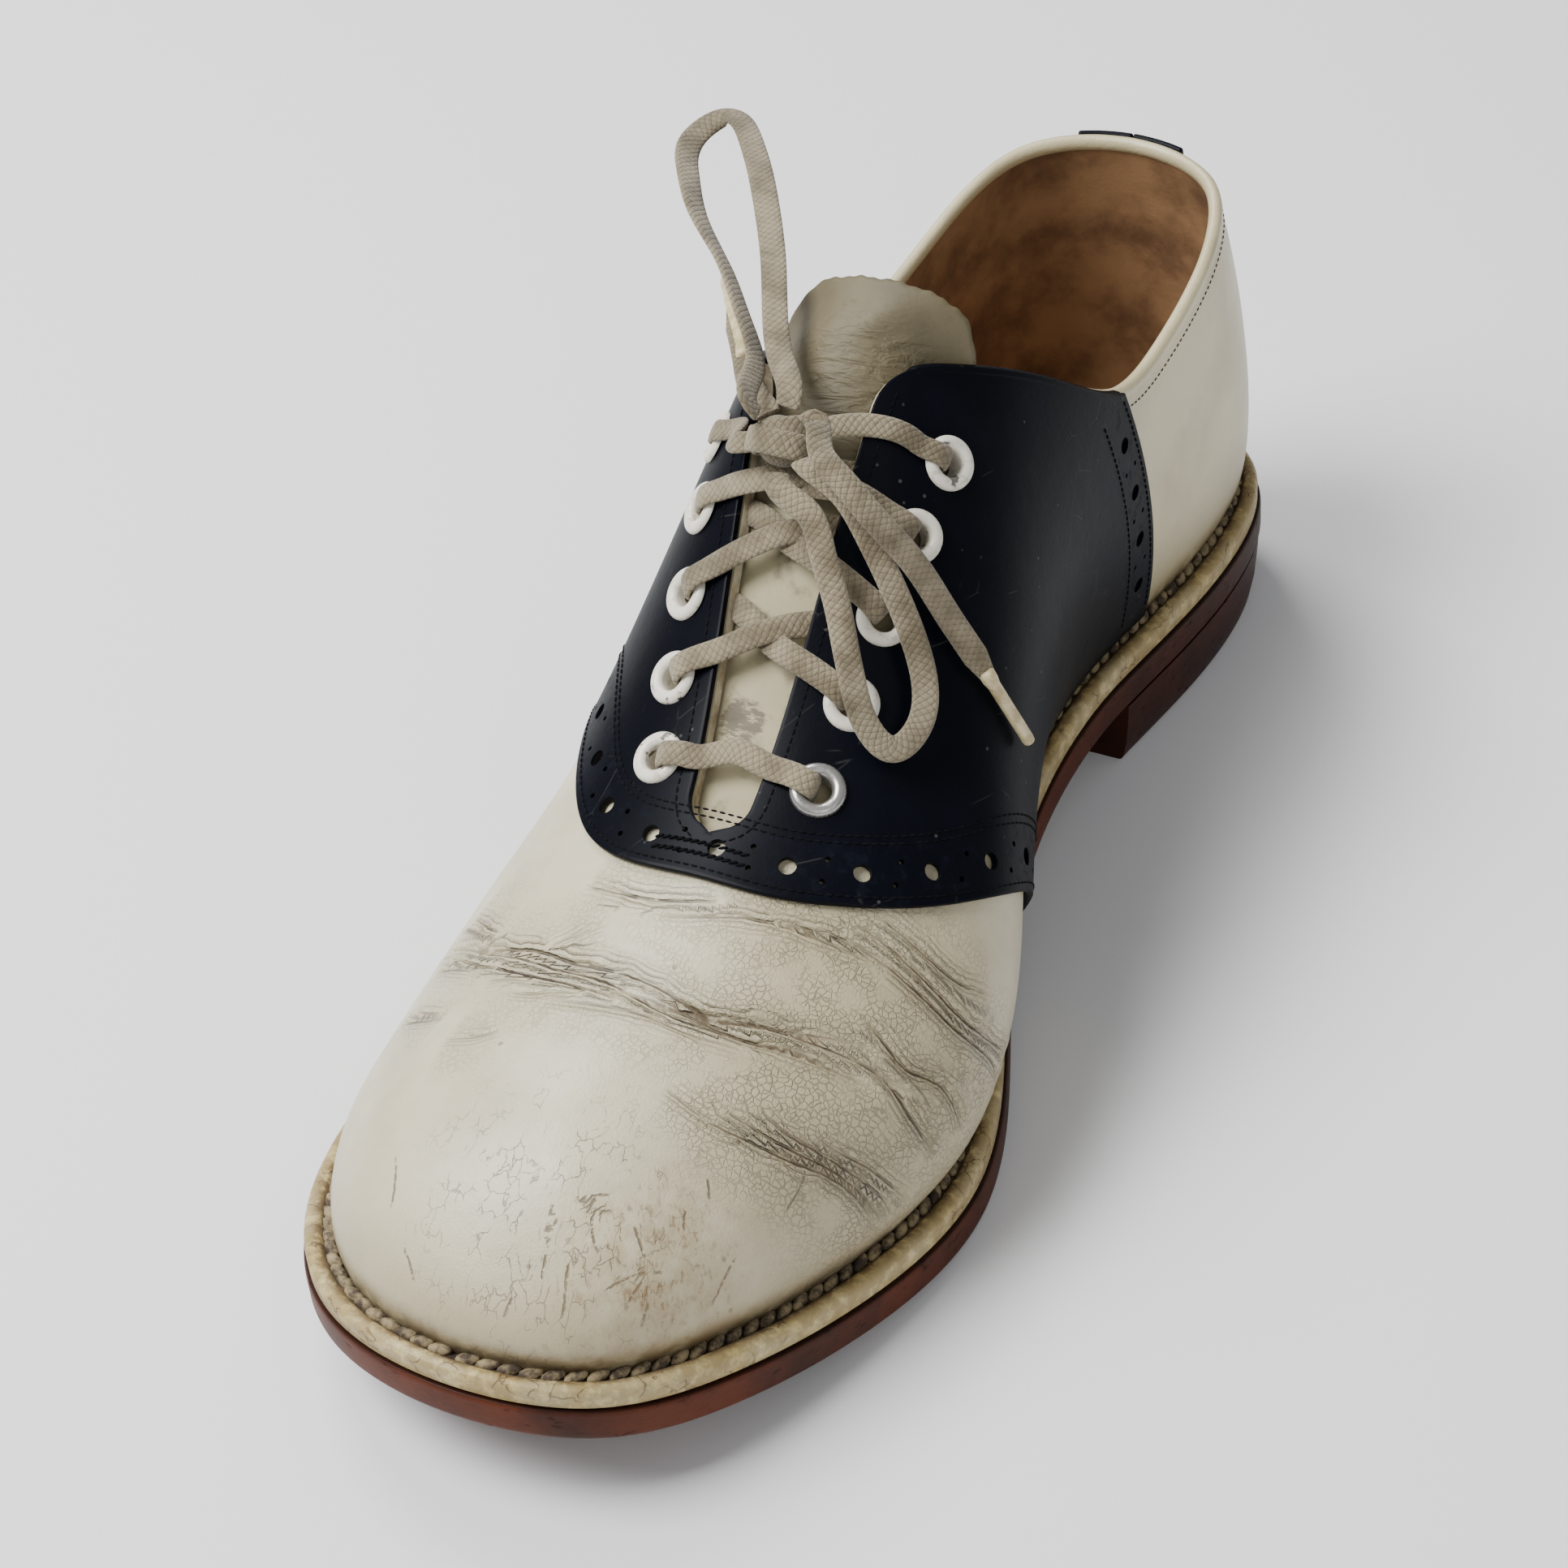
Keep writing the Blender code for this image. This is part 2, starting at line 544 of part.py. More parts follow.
def eyelet_seats():
    """Centre on the saddle's face and normal of every eyelet, by side name and row."""
    face = SADDLE_OFF + SADDLE_WALL
    for row, medial_y, medial_off, lateral_y, lateral_off in EYELETS:
        for side, name, y, off in ((MEDIAL, "medial", medial_y, medial_off),
                                   (LATERAL, "lateral", lateral_y, lateral_off)):
            point, normal = instep_point(side, y, off)
            yield name, row, point + normal * face, normal


def make_eyelets(collection, finishes):
    tube_radius = (EYELET_RADIUS - EYELET_BORE_RADIUS) / 2
    for name, row, seat, normal in eyelet_seats():
        bpy.ops.mesh.primitive_torus_add(
            major_radius=(EYELET_BORE_RADIUS + tube_radius) * MM, minor_radius=tube_radius * MM,
            major_segments=12, minor_segments=5)
        ring = bpy.context.object
        ring.name = ring.data.name = f"eyelet_{name}_{row}"
        ring.data.transform(Matrix.Scale(EYELET_HEIGHT / (2 * tube_radius), 4, Vector((0, 0, 1))))
        ring.location = Vector(seat + normal * (GAP + EYELET_HEIGHT / 2)) * MM
        ring.rotation_euler = Vector(normal).to_track_quat("Z", "Y").to_euler()
        ring.data.materials.append(finishes["cream_metal"])
        ring.data.shade_smooth()
        for owner in ring.users_collection:
            owner.objects.unlink(ring)
        collection.objects.link(ring)


def smooth_route(points, spacing=5.0):
    """Evenly spaced points along one smooth curve through the route's own points."""
    points = np.array(points, float)
    run = np.concatenate([[0.0], np.cumsum(np.linalg.norm(np.diff(points, axis=0), axis=1))])
    axes = [smooth_curve(run, points[:, i]) for i in range(3)]
    count = max(3, round(run[-1] / spacing) + 1)
    return np.stack([axis(np.linspace(0.0, run[-1], count)) for axis in axes], 1)


def tube(name, points, diameter, collection, finish):
    """A cord's plain solid: a round tube along a smooth route."""
    curve = bpy.data.curves.new(name, "CURVE")
    curve.dimensions = "3D"
    curve.bevel_depth = diameter / 2 * MM
    curve.bevel_resolution = 2
    curve.use_fill_caps = True
    route = smooth_route(points)
    spline = curve.splines.new("POLY")
    spline.points.add(len(route) - 1)
    for point, place in zip(spline.points, route):
        point.co = (*(Vector(place) * MM), 1.0)
    made = bpy.data.objects.new(name, curve)
    made.data.materials.append(finish)
    collection.objects.link(made)
    return made


def tube_as_mesh(piece):
    """The same tube as a mesh with its caps joined on, ready for a Boolean."""
    graph = bpy.context.evaluated_depsgraph_get()
    mesh = bpy.data.meshes.new_from_object(piece.evaluated_get(graph))
    name, place, owners = piece.name, piece.matrix_world.copy(), list(piece.users_collection)
    bpy.data.objects.remove(piece, do_unlink=True)
    bm = bmesh.new()
    bm.from_mesh(mesh)
    bmesh.ops.remove_doubles(bm, verts=bm.verts, dist=0.001 * MM)
    bm.to_mesh(mesh)
    bm.free()
    made = bpy.data.objects.new(name, mesh)
    made.matrix_world = place
    for owner in owners:
        owner.objects.link(made)
    return made


def over_facing(side, y, from_ridge, advance):
    """Points of a lace out of an eyelet and over the edge of its facing."""
    edge = throat_half_gap(side, y + advance) + 1.0
    points = []
    for t, lift in ((0.0, LIFT_EYELET), (0.5, LIFT_EYELET), (1.0, LIFT_FACING)):
        place, normal = instep_point(side, y + advance * t, from_ridge + (edge - from_ridge) * t)
        points.append(place + normal * lift)
    return points


def strand(side, y, from_ridge, cross_y):
    """A lace from its eyelet over the facing, through the crossing, into the slot's other side."""
    points = over_facing(side, y, from_ridge, (cross_y - y) * 0.5)
    points.append(np.array((RIDGE_X(cross_y), cross_y, RIDGE_Z(cross_y) + LIFT_SLOT)))
    far = throat_half_gap(-side, cross_y) - LACE_DIAMETER / 2 - 3 * GAP
    place, normal = instep_point(-side, cross_y + STRAND_RUN_ON, far)
    return points + [place + normal * LIFT_STRAND_END]


def knot_exits(direction):
    """Two points of a cord that leaves the knot straight out in a direction, clear of its surface."""
    direction = np.array(direction) / np.linalg.norm(direction)
    radius = 1.0 / np.linalg.norm(direction / np.array(KNOT_RADII))
    return [np.array(KNOT_CENTRE) + direction * (radius + off) for off in (KNOT_OFF, KNOT_OFF + 2.0)]


def make_lacing(collection, cutters, finishes):
    """The bar and crossings over the slot, and the two strands that run up to the knot."""
    finish = finishes["cotton_lace"]
    for row, medial_y, medial_off, lateral_y, lateral_off in EYELETS:
        if row == 5:
            left = over_facing(LATERAL, lateral_y, lateral_off, 0.0)
            right = over_facing(MEDIAL, medial_y, medial_off, 0.0)
            middle_y = (medial_y + lateral_y) / 2
            middle = np.array((RIDGE_X(middle_y), middle_y, RIDGE_Z(middle_y) + LIFT_BAR))
            tube("lace_bar_5", left + [middle] + right[::-1], LACE_DIAMETER, collection, finish)
        elif row in CROSSINGS:
            cross_y = CROSSINGS[row]
            first = tube_as_mesh(tube(f"lace_crossing_{row}", strand(LATERAL, lateral_y, lateral_off, cross_y),
                                      LACE_DIAMETER, collection, finish))
            second = tube_as_mesh(tube(f"second_strand_{row}", strand(MEDIAL, medial_y, medial_off, cross_y),
                                       LACE_DIAMETER, cutters, finish))
            second.hide_render = True
            second.display_type = "WIRE"
            union = first.modifiers.new("joined", "BOOLEAN")
            union.operation = "UNION"
            union.object = second
        else:
            for side, name, y, off, leave in (
                    (MEDIAL, "medial", medial_y, medial_off, (0.80, 0.60, 0.12)),
                    (LATERAL, "lateral", lateral_y, lateral_off, (-0.97, -0.10, -0.20))):
                points = over_facing(side, y, off, -5.0) + knot_exits(leave)[::-1]
                tube(f"lace_strand_1_{name}", points, LACE_DIAMETER, collection, finish)


def make_bow(collection, finishes):
    """Knot, two loops, two ends and their aglets."""
    finish = finishes["cotton_lace"]
    bpy.ops.mesh.primitive_uv_sphere_add(segments=14, ring_count=9, radius=1.0)
    knot = bpy.context.object
    knot.name = knot.data.name = "lace_knot"
    knot.data.transform(Matrix.Diagonal((*(Vector(KNOT_RADII) * MM), 1.0)))
    knot.location = Vector(KNOT_CENTRE) * MM
    knot.data.materials.append(finish)
    knot.data.shade_smooth()
    for owner in knot.users_collection:
        owner.objects.unlink(knot)
    collection.objects.link(knot)
    for name, loop in (("lace_loop_hanging", LOOP_HANGING), ("lace_loop_standing", LOOP_STANDING)):
        points = [*knot_exits(loop["leave"]), *loop["route"], *knot_exits(loop["back"])[::-1]]
        tube(name, points, LACE_DIAMETER, collection, finish)
    for name, end in (("medial", END_MEDIAL), ("lateral", END_LATERAL)):
        last, tip = np.array(end["route"][-1]), np.array(end["tip"])
        toward = (tip - last) / np.linalg.norm(tip - last)
        tube(f"lace_end_{name}", [*knot_exits(end["leave"]), *end["route"]], LACE_DIAMETER, collection, finish)
        tube(f"aglet_{name}", [last + toward * GAP, (last + tip) / 2, tip], AGLET_DIAMETER,
             collection, finishes["aglet_plastic"])


def main():
    for existing in list(bpy.data.objects):
        bpy.data.objects.remove(existing, do_unlink=True)
    collection = bpy.data.collections.new("saddle_shoe")
    cutters = bpy.data.collections.new("cutters")
    for group in (collection, cutters):
        bpy.context.scene.collection.children.link(group)
    finishes = {
        "brick_rubber": material("brick_rubber", (0.22, 0.055, 0.035), 0.6),
        "cream_welt": material("cream_welt", (0.62, 0.52, 0.28), 0.55),
        "tan_leather": material("tan_leather", (0.34, 0.2, 0.1), 0.7),
        "white_leather": material("white_leather", (0.62, 0.58, 0.5), 0.45),
        "navy_leather": material("navy_leather", (0.006, 0.008, 0.018), 0.35),
        "grey_leather": material("grey_leather", (0.36, 0.33, 0.25), 0.7),
        "cream_metal": material("cream_metal", (0.7, 0.66, 0.55), 0.35),
        "cotton_lace": material("cotton_lace", (0.36, 0.29, 0.2), 0.9),
        "aglet_plastic": material("aglet_plastic", (0.62, 0.56, 0.4), 0.4),
    }
    make_sole(collection, finishes)
    make_upper(collection, finishes)
    make_saddle(collection, finishes)
    make_heel_tab(collection, finishes)
    make_tongue(collection, finishes)
    make_eyelets(collection, finishes)
    make_lacing(collection, cutters, finishes)
    make_bow(collection, finishes)


main()
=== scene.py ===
"""Dress of a worn saddle shoe for the right foot.

The toe points to -Y, the inner (medial) side of the foot is +X and the floor is z = 0.
Sizes are millimetres while a piece is made, and MM turns them into metres at the end.
"""
import logging
import math
from collections.abc import Callable, Iterator, Sequence
from dataclasses import dataclass
from enum import Enum

import bmesh
import bpy
import numpy as np
from bpy.types import Material, Object
from mathutils import Matrix, Vector


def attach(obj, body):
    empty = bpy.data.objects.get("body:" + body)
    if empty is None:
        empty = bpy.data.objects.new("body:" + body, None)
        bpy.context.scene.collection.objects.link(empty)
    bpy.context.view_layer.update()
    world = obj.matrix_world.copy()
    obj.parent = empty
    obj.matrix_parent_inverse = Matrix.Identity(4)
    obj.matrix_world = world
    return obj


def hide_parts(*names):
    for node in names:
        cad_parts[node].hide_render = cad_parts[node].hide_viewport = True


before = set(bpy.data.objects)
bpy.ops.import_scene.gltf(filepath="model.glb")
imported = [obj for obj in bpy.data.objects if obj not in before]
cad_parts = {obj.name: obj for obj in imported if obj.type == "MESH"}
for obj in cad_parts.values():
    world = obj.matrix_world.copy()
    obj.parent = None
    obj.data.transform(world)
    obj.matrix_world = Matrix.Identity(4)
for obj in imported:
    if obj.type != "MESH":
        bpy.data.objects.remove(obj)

MM = 0.001
LOG = logging.getLogger("saddle_shoe")

Array = np.ndarray
Pair = tuple[Array, Array]
Triple = tuple[float, float, float]
Curve = Callable[[Array], Array]
Place = Callable[[Array, Array], Array]


class Side(Enum):
    """The two sides of the foot, by the sign of x."""

    MEDIAL = 1
    LATERAL = -1


@dataclass(frozen=True)
class Section:
    """A section of the upper: height and place of its ridge, and how full each side is."""

    y: float
    ridge_z: float
    ridge_x: float
    medial_square: float
    lateral_square: float
    medial_bulge: float
    lateral_bulge: float
    bulge_at: float


@dataclass(frozen=True)
class Feather:
    """Inset of the upper's lower edge from the sole's outline, by share from toe to heel."""

    share: float
    medial: float
    lateral: float


@dataclass(frozen=True)
class TopPoint:
    """Height of the facings and collar over the floor."""

    y: float
    medial: float
    lateral: float


@dataclass(frozen=True)
class SaddlePoint:
    """Front and rear edges of the saddle by share of the way up the section."""

    up: float
    medial_front: float
    lateral_front: float
    rear: float


@dataclass(frozen=True)
class EyeletRow:
    """A pair of eyelets: stations along the foot and distances from the ridge."""

    row: int
    medial_y: float
    medial_off: float
    lateral_y: float
    lateral_off: float

    def place(self, side: Side) -> tuple[float, float]:
        """Station and distance from the ridge on one side."""
        if side is Side.MEDIAL:
            return self.medial_y, self.medial_off
        return self.lateral_y, self.lateral_off


OUTLINE = (
    (1.2, -143.4), (24.5, -136.5), (38.2, -117.5), (48.2, -92.0), (53.5, -58.7), (43.3, -24.1), (29.4, 15.7),
    (29.6, 56.3), (35.6, 104.3), (27.6, 133.7), (1.6, 143.4), (-24.0, 133.0), (-33.4, 104.3),
    (-35.8, 56.2), (-41.0, 16.3), (-50.2, -23.6), (-53.5, -64.0), (-47.4, -107.8), (-26.0, -135.8),
)
SECTIONS = (
    Section(-140.0, 43.0, 1.0, 2.30, 2.25, 1.5, 1.0, 0.40),
    Section(-115.0, 52.0, 1.5, 2.35, 2.20, 2.5, 0.6, 0.40),
    Section(-90.0, 55.0, 3.0, 2.35, 2.10, 4.5, 0.4, 0.40),
    Section(-70.0, 58.0, 4.0, 2.35, 2.05, 7.0, 1.4, 0.42),
    Section(-50.0, 65.5, 4.2, 2.30, 2.00, 9.7, 1.6, 0.44),
    Section(-30.0, 78.0, 2.4, 2.20, 1.95, 12.5, 0.4, 0.46),
    Section(-10.0, 97.0, 0.4, 2.20, 1.95, 13.0, 0.4, 0.46),
    Section(10.0, 116.0, -1.4, 2.25, 1.95, 13.0, 0.8, 0.46),
    Section(30.0, 131.0, -2.0, 2.20, 1.95, 11.5, 1.2, 0.44),
    Section(55.0, 143.0, -0.8, 2.10, 2.00, 8.5, 2.0, 0.42),
    Section(80.0, 147.0, 0.6, 2.00, 2.00, 5.0, 2.6, 0.36),
    Section(105.0, 143.0, 1.6, 2.00, 2.00, 3.4, 3.2, 0.26),
    Section(145.0, 140.0, 1.6, 2.00, 2.00, 4.4, 4.4, 0.22),
)
FEATHERS = (
    Feather(0.00, 5.8, 5.8), Feather(0.15, 6.0, 6.2), Feather(0.35, 6.2, 6.4), Feather(0.60, 6.0, 6.4),
    Feather(0.85, 5.6, 5.8), Feather(1.00, 5.2, 5.2),
)
TOPLINE = (
    TopPoint(8.0, 119.0, 114.0), TopPoint(20.0, 114.0, 108.0), TopPoint(30.0, 108.5, 102.0),
    TopPoint(40.0, 101.5, 96.0), TopPoint(50.0, 93.5, 90.0), TopPoint(60.0, 86.5, 85.0),
    TopPoint(70.0, 83.0, 82.5), TopPoint(85.0, 83.0, 82.5), TopPoint(105.0, 86.0, 86.0),
    TopPoint(125.0, 90.5, 90.5), TopPoint(145.0, 93.5, 93.5),
)
SADDLE_EDGES = (
    SaddlePoint(0.00, -8.0, 2.0, 72.0), SaddlePoint(0.15, -14.0, -3.0, 68.0),
    SaddlePoint(0.30, -25.0, -11.0, 62.0), SaddlePoint(0.50, -43.0, -29.0, 55.5),
    SaddlePoint(0.70, -54.5, -51.0, 53.5), SaddlePoint(0.85, -58.5, -58.0, 53.0),
    SaddlePoint(1.00, -59.0, -59.0, 53.0),
)
EYELETS = (
    EyeletRow(5, -39.5, 14.8, -40.5, 13.4), EyeletRow(4, -25.5, 16.3, -28.0, 14.8),
    EyeletRow(3, -12.8, 17.9, -16.0, 16.2), EyeletRow(2, -0.5, 19.4, -3.5, 17.6),
    EyeletRow(1, 11.5, 20.8, 9.0, 19.0),
)


def smooth_curve(knots: Array, values: Array) -> Curve:
    """A function that runs one natural cubic curve through the values at the knots.

    Args:
        knots: rising positions.
        values: the value at each of them.

    Returns:
        The function, which holds its end values outside the knots.
    """
    step = np.diff(knots)
    size = len(knots)
    system, right = np.eye(size), np.zeros(size)
    for i in range(1, size - 1):
        system[i, i - 1:i + 2] = step[i - 1], 2 * (step[i - 1] + step[i]), step[i]
        right[i] = 6 * ((values[i + 1] - values[i]) / step[i] - (values[i] - values[i - 1]) / step[i - 1])
    bend = np.linalg.solve(system, right)

    def evaluate(x: Array) -> Array:
        """Value of the curve at x."""
        x = np.clip(x, knots[0], knots[-1])
        i = np.clip(np.searchsorted(knots, x) - 1, 0, size - 2)
        before, after, h = x - knots[i], knots[i + 1] - x, step[i]
        return ((bend[i] * after ** 3 + bend[i + 1] * before ** 3) / (6 * h)
                + (values[i] / h - bend[i] * h / 6) * after
                + (values[i + 1] / h - bend[i + 1] * h / 6) * before)
    return evaluate


def rows_curve(rows: Sequence, key: str, name: str) -> Curve:
    """One field of a table's rows as a smooth function of another field."""
    return smooth_curve(np.array([getattr(row, key) for row in rows], float),
                        np.array([getattr(row, name) for row in rows], float))


def unit(vectors: Array) -> Array:
    """Vectors scaled to length one."""
    return vectors / np.maximum(np.linalg.norm(vectors, axis=-1, keepdims=True), 1e-9)


def along_path(points: Array) -> Array:
    """Length run from the first point to each point."""
    return np.concatenate([[0.0], np.cumsum(np.linalg.norm(np.diff(points, axis=0), axis=1))])


def resample(points: Array, spacing: float) -> Array:
    """Points at even steps along a polyline."""
    run = along_path(points)
    even = np.linspace(0.0, run[-1], max(3, round(run[-1] / spacing) + 1))
    return np.stack([np.interp(even, run, points[:, i]) for i in range(points.shape[1])], 1)


def smooth_route(points: Sequence, spacing: float) -> Array:
    """Points at even steps along one smooth curve through a route's own points."""
    points = np.array(points, float)
    run = along_path(points)
    axes = [smooth_curve(run, points[:, i]) for i in range(points.shape[1])]
    dense = np.linspace(0.0, run[-1], max(3, round(run[-1] / spacing) + 1))
    return np.stack([axis(dense) for axis in axes], 1)


@dataclass
class Last:
    """The form that every piece follows: outline, layers of the sole and the face of the upper."""

    gap: float = 0.3
    outsole: float = 6.6
    welt: float = 4.4
    heel_lift: float = 14.0
    toe_spring: float = 19.8
    spring_start: float = -49.0
    spring_run: float = 100.0
    shank: tuple[float, float] = (-28.0, 60.0)
    toe_pole: float = -99.0
    heel_pole: float = 104.0
    seam_blend: float = 0.06
    topline_round: float = 7.0
    topline_low: float = 60.0
    throat_front: float = -51.0
    throat_round: float = 5.0
    throat_half_front: float = 5.0
    throat_back: float = 15.0
    throat_half_medial: float = 9.5
    throat_half_lateral: float = 12.0
    overlay_foot: float = 0.012

    def __post_init__(self) -> None:
        """Turn the tables into smooth functions."""
        self.sides = {side: self._trace(side) for side in Side}
        self.inset = {side: rows_curve(FEATHERS, "share", side.name.lower()) for side in Side}
        self.ridge_z = rows_curve(SECTIONS, "y", "ridge_z")
        self.ridge_x = rows_curve(SECTIONS, "y", "ridge_x")
        self.square = {side: rows_curve(SECTIONS, "y", f"{side.name.lower()}_square") for side in Side}
        self.bulge = {side: rows_curve(SECTIONS, "y", f"{side.name.lower()}_bulge") for side in Side}
        self.bulge_at = rows_curve(SECTIONS, "y", "bulge_at")
        self.topline = {side: rows_curve(TOPLINE, "y", side.name.lower()) for side in Side}
        self.station_shares = np.linspace(0.0, 1.0, 400)
        self.station_ys = self.mean_y(self.station_shares)

    def _trace(self, side: Side, count: int = 400) -> dict:
        """Dense points and inward normals of the outline on one side, from toe tip to heel back."""
        points = np.array(OUTLINE, float)
        ring = np.vstack([points, points, points, points[:1]])
        run = along_path(ring)
        x_at, y_at = smooth_curve(run, ring[:, 0]), smooth_curve(run, ring[:, 1])
        size = len(points)
        heel = int(np.argmax(points[:, 1]))
        first, last = (size, size + heel) if side is Side.MEDIAL else (2 * size, size + heel)
        dense = np.linspace(run[first], run[last], 4 * count)
        path = np.stack([x_at(dense), y_at(dense)], 1)
        length = along_path(path)
        share = length / length[-1]
        even = np.linspace(0.0, 1.0, count)
        path = np.stack([np.interp(even, share, path[:, 0]), np.interp(even, share, path[:, 1])], 1)
        tangent = np.gradient(path, axis=0)
        tangent[0] = (side.value, 0.0)
        tangent[-1] = (-side.value, 0.0)
        tangent = unit(tangent)
        normal = side.value * np.stack([-tangent[:, 1], tangent[:, 0]], 1)
        return {"share": even, "path": path, "normal": normal, "length": length[-1]}

    def outline(self, side: Side, share: Array, inset: Array | float = 0.0) -> tuple:
        """Plan position on the outline of one side, moved inward."""
        data = self.sides[side]
        x, y = (np.interp(share, data["share"], data["path"][:, i]) for i in (0, 1))
        nx, ny = (np.interp(share, data["share"], data["normal"][:, i]) for i in (0, 1))
        return x + nx * inset, y + ny * inset

    def share_at(self, side: Side, y: float) -> float:
        """Share along one side at which the outline passes a given y."""
        return float(np.interp(y, self.sides[side]["path"][:, 1], self.sides[side]["share"]))

    def mean_y(self, share: Array) -> Array:
        """Station of a section: the mean y of its two feather points."""
        return 0.5 * (self.outline(Side.MEDIAL, share)[1] + self.outline(Side.LATERAL, share)[1])

    def station(self, y: Array) -> Array:
        """Share from toe to heel of the section at y."""
        return np.interp(y, self.station_ys, self.station_shares)

    def tread(self, y: Array) -> Array:
        """Height of the outsole's underside."""
        spring = self.toe_spring * np.clip((self.spring_start - y) / self.spring_run, 0.0, None) ** 2
        rise = np.clip((y - self.shank[0]) / (self.shank[1] - self.shank[0]), 0.0, 1.0)
        return spring + self.heel_lift * rise * rise * (3 - 2 * rise)

    def welt_bottom(self, y: Array) -> Array:
        """Height of the welt's underside."""
        return self.tread(y) + self.outsole + self.gap

    def welt_top(self, y: Array) -> Array:
        """Height of the welt's upper face."""
        return self.welt_bottom(y) + self.welt

    def _side_value(self, tables: dict, side: Side, y: Array, share: Array) -> Array:
        """One side's value, drawn to the mean where the sides meet at toe and heel."""
        mean = (tables[Side.MEDIAL](y) + tables[Side.LATERAL](y)) / 2
        apart = np.clip(np.minimum(share, 1.0 - share) / self.seam_blend, 0.0, 1.0)
        return mean + (tables[side](y) - mean) * apart

    def face(self, side: Side, share: Array, up: Array) -> Array:
        """Points on the upper's outer face.

        Args:
            side: side of the foot.
            share: from the toe, 0, to the heel, 1.
            up: from the feather line, 0, to the ridge, 1.

        Returns:
            The points in millimetres.
        """
        foot_x, foot_y = self.outline(side, share, self.inset[side](share))
        foot_z = self.welt_top(foot_y) + self.gap
        centre_y = np.clip(self.mean_y(share), self.toe_pole, self.heel_pole)
        centre_x = self.ridge_x(centre_y)
        reach_x, reach_y = centre_x - foot_x, centre_y - foot_y
        reach = np.hypot(reach_x, reach_y)
        angle = np.clip(up, 0.0, 1.0) * math.pi / 2
        power = 2.0 / self._side_value(self.square, side, foot_y, share)
        inward = 1.0 - np.clip(np.cos(angle), 0.0, 1.0) ** power
        rise = np.sin(angle) ** power
        bell = np.sin(math.pi * np.clip(rise, 0.0, 1.0) ** (math.log(0.5) / np.log(self.bulge_at(foot_y))))
        out = inward - self._side_value(self.bulge, side, foot_y, share) * bell / reach
        x, y = foot_x + reach_x * out, foot_y + reach_y * out
        z = foot_z + (self.ridge_z(y) - foot_z) * rise
        return np.stack(np.broadcast_arrays(x, y, z), -1)

    def normal(self, side: Side, share: Array, up: Array, nudge: float = 0.004) -> Array:
        """Outward normals of the upper's face."""
        ahead = self.face(side, np.minimum(share + nudge, 1.0), up)
        behind = self.face(side, np.maximum(share - nudge, 0.0), up)
        over = self.face(side, share, np.minimum(up + nudge, 1.0))
        under = self.face(side, share, np.maximum(up - nudge, 0.0))
        return unit(np.cross(ahead - behind, over - under)) * side.value

    def over(self, side: Side, share: Array, up: Array, height: float = 0.0) -> Pair:
        """Points a height over the upper's face, and the outward normals there."""
        normals = self.normal(side, share, up)
        return self.face(side, share, up) + normals * height, normals

    def throat_half(self, side: Side, y: Array) -> Array:
        """Half width of the slot between the facings, zero in front of it."""
        back = self.throat_half_medial if side is Side.MEDIAL else self.throat_half_lateral
        into = np.clip((y - self.throat_front) / self.throat_round, 0.0, 1.0)
        widen = np.clip((y - self.throat_front) / (self.throat_back - self.throat_front), 0.0, 1.0)
        half = self.throat_half_front + (back - self.throat_half_front) * widen
        return half * np.sqrt(1.0 - (1.0 - into) ** 2)

    def top(self, side: Side, share_along: Curve) -> float:
        """How far up its section the leather goes: to the ridge, the facing or the collar."""
        ups = np.linspace(0.0, 1.0, 400)
        shares = share_along(ups)
        points = self.face(side, shares, ups)
        centre_x = self.ridge_x(np.clip(self.mean_y(shares), self.toe_pole, self.heel_pole))
        over_collar = points[:, 2] - self.topline[side](points[:, 1])
        over_collar = np.where(points[:, 1] < TOPLINE[0].y, -99.0, over_collar)
        into_slot = self.throat_half(side, points[:, 1]) - np.abs(points[:, 0] - centre_x)
        off_slot = (points[:, 1] < self.throat_front) | (points[:, 1] > self.topline_low)
        into_slot = np.where(off_slot, -99.0, into_slot)
        corner = np.maximum(self.topline_round - np.abs(over_collar - into_slot), 0.0) ** 2
        over = np.maximum(over_collar, into_slot) + corner / (4 * self.topline_round)
        crossing = np.nonzero(over >= 0.0)[0]
        if len(crossing) == 0 or crossing[0] == 0:
            return 1.0
        i = crossing[0]
        return float(ups[i - 1] + (ups[i] - ups[i - 1]) * over[i - 1] / (over[i - 1] - over[i]))

    def tops(self, side: Side, shares: Array) -> Array:
        """How far up the leather goes on upright sections."""
        return np.array([self.top(side, lambda ups, s=s: np.full_like(ups, s)) for s in shares])

    def ridge(self, y: float, lift: float) -> Array:
        """Point at a height over the ridge line."""
        return np.array((self.ridge_x(y), y, self.ridge_z(y) + lift))

    def instep(self, side: Side, y: float, distance: float, height: float = 0.0) -> Pair:
        """Point a height over the face, and normal, at a station and a distance from the ridge line."""
        stations, distances = np.broadcast_arrays(np.atleast_1d(y).astype(float), distance)
        ups = np.linspace(0.2, 1.0, 500)
        shares = self.station(stations)
        section = self.face(side, shares[:, None], ups[None, :])
        away = np.abs(section[..., 0] - self.ridge_x(stations)[:, None])
        up = np.array([np.interp(-far, -row, ups) for far, row in zip(distances, away)])
        points, normals = self.over(side, shares, up, height)
        return (points[0], normals[0]) if np.ndim(y) == 0 else (points, normals)


LAST = Last()


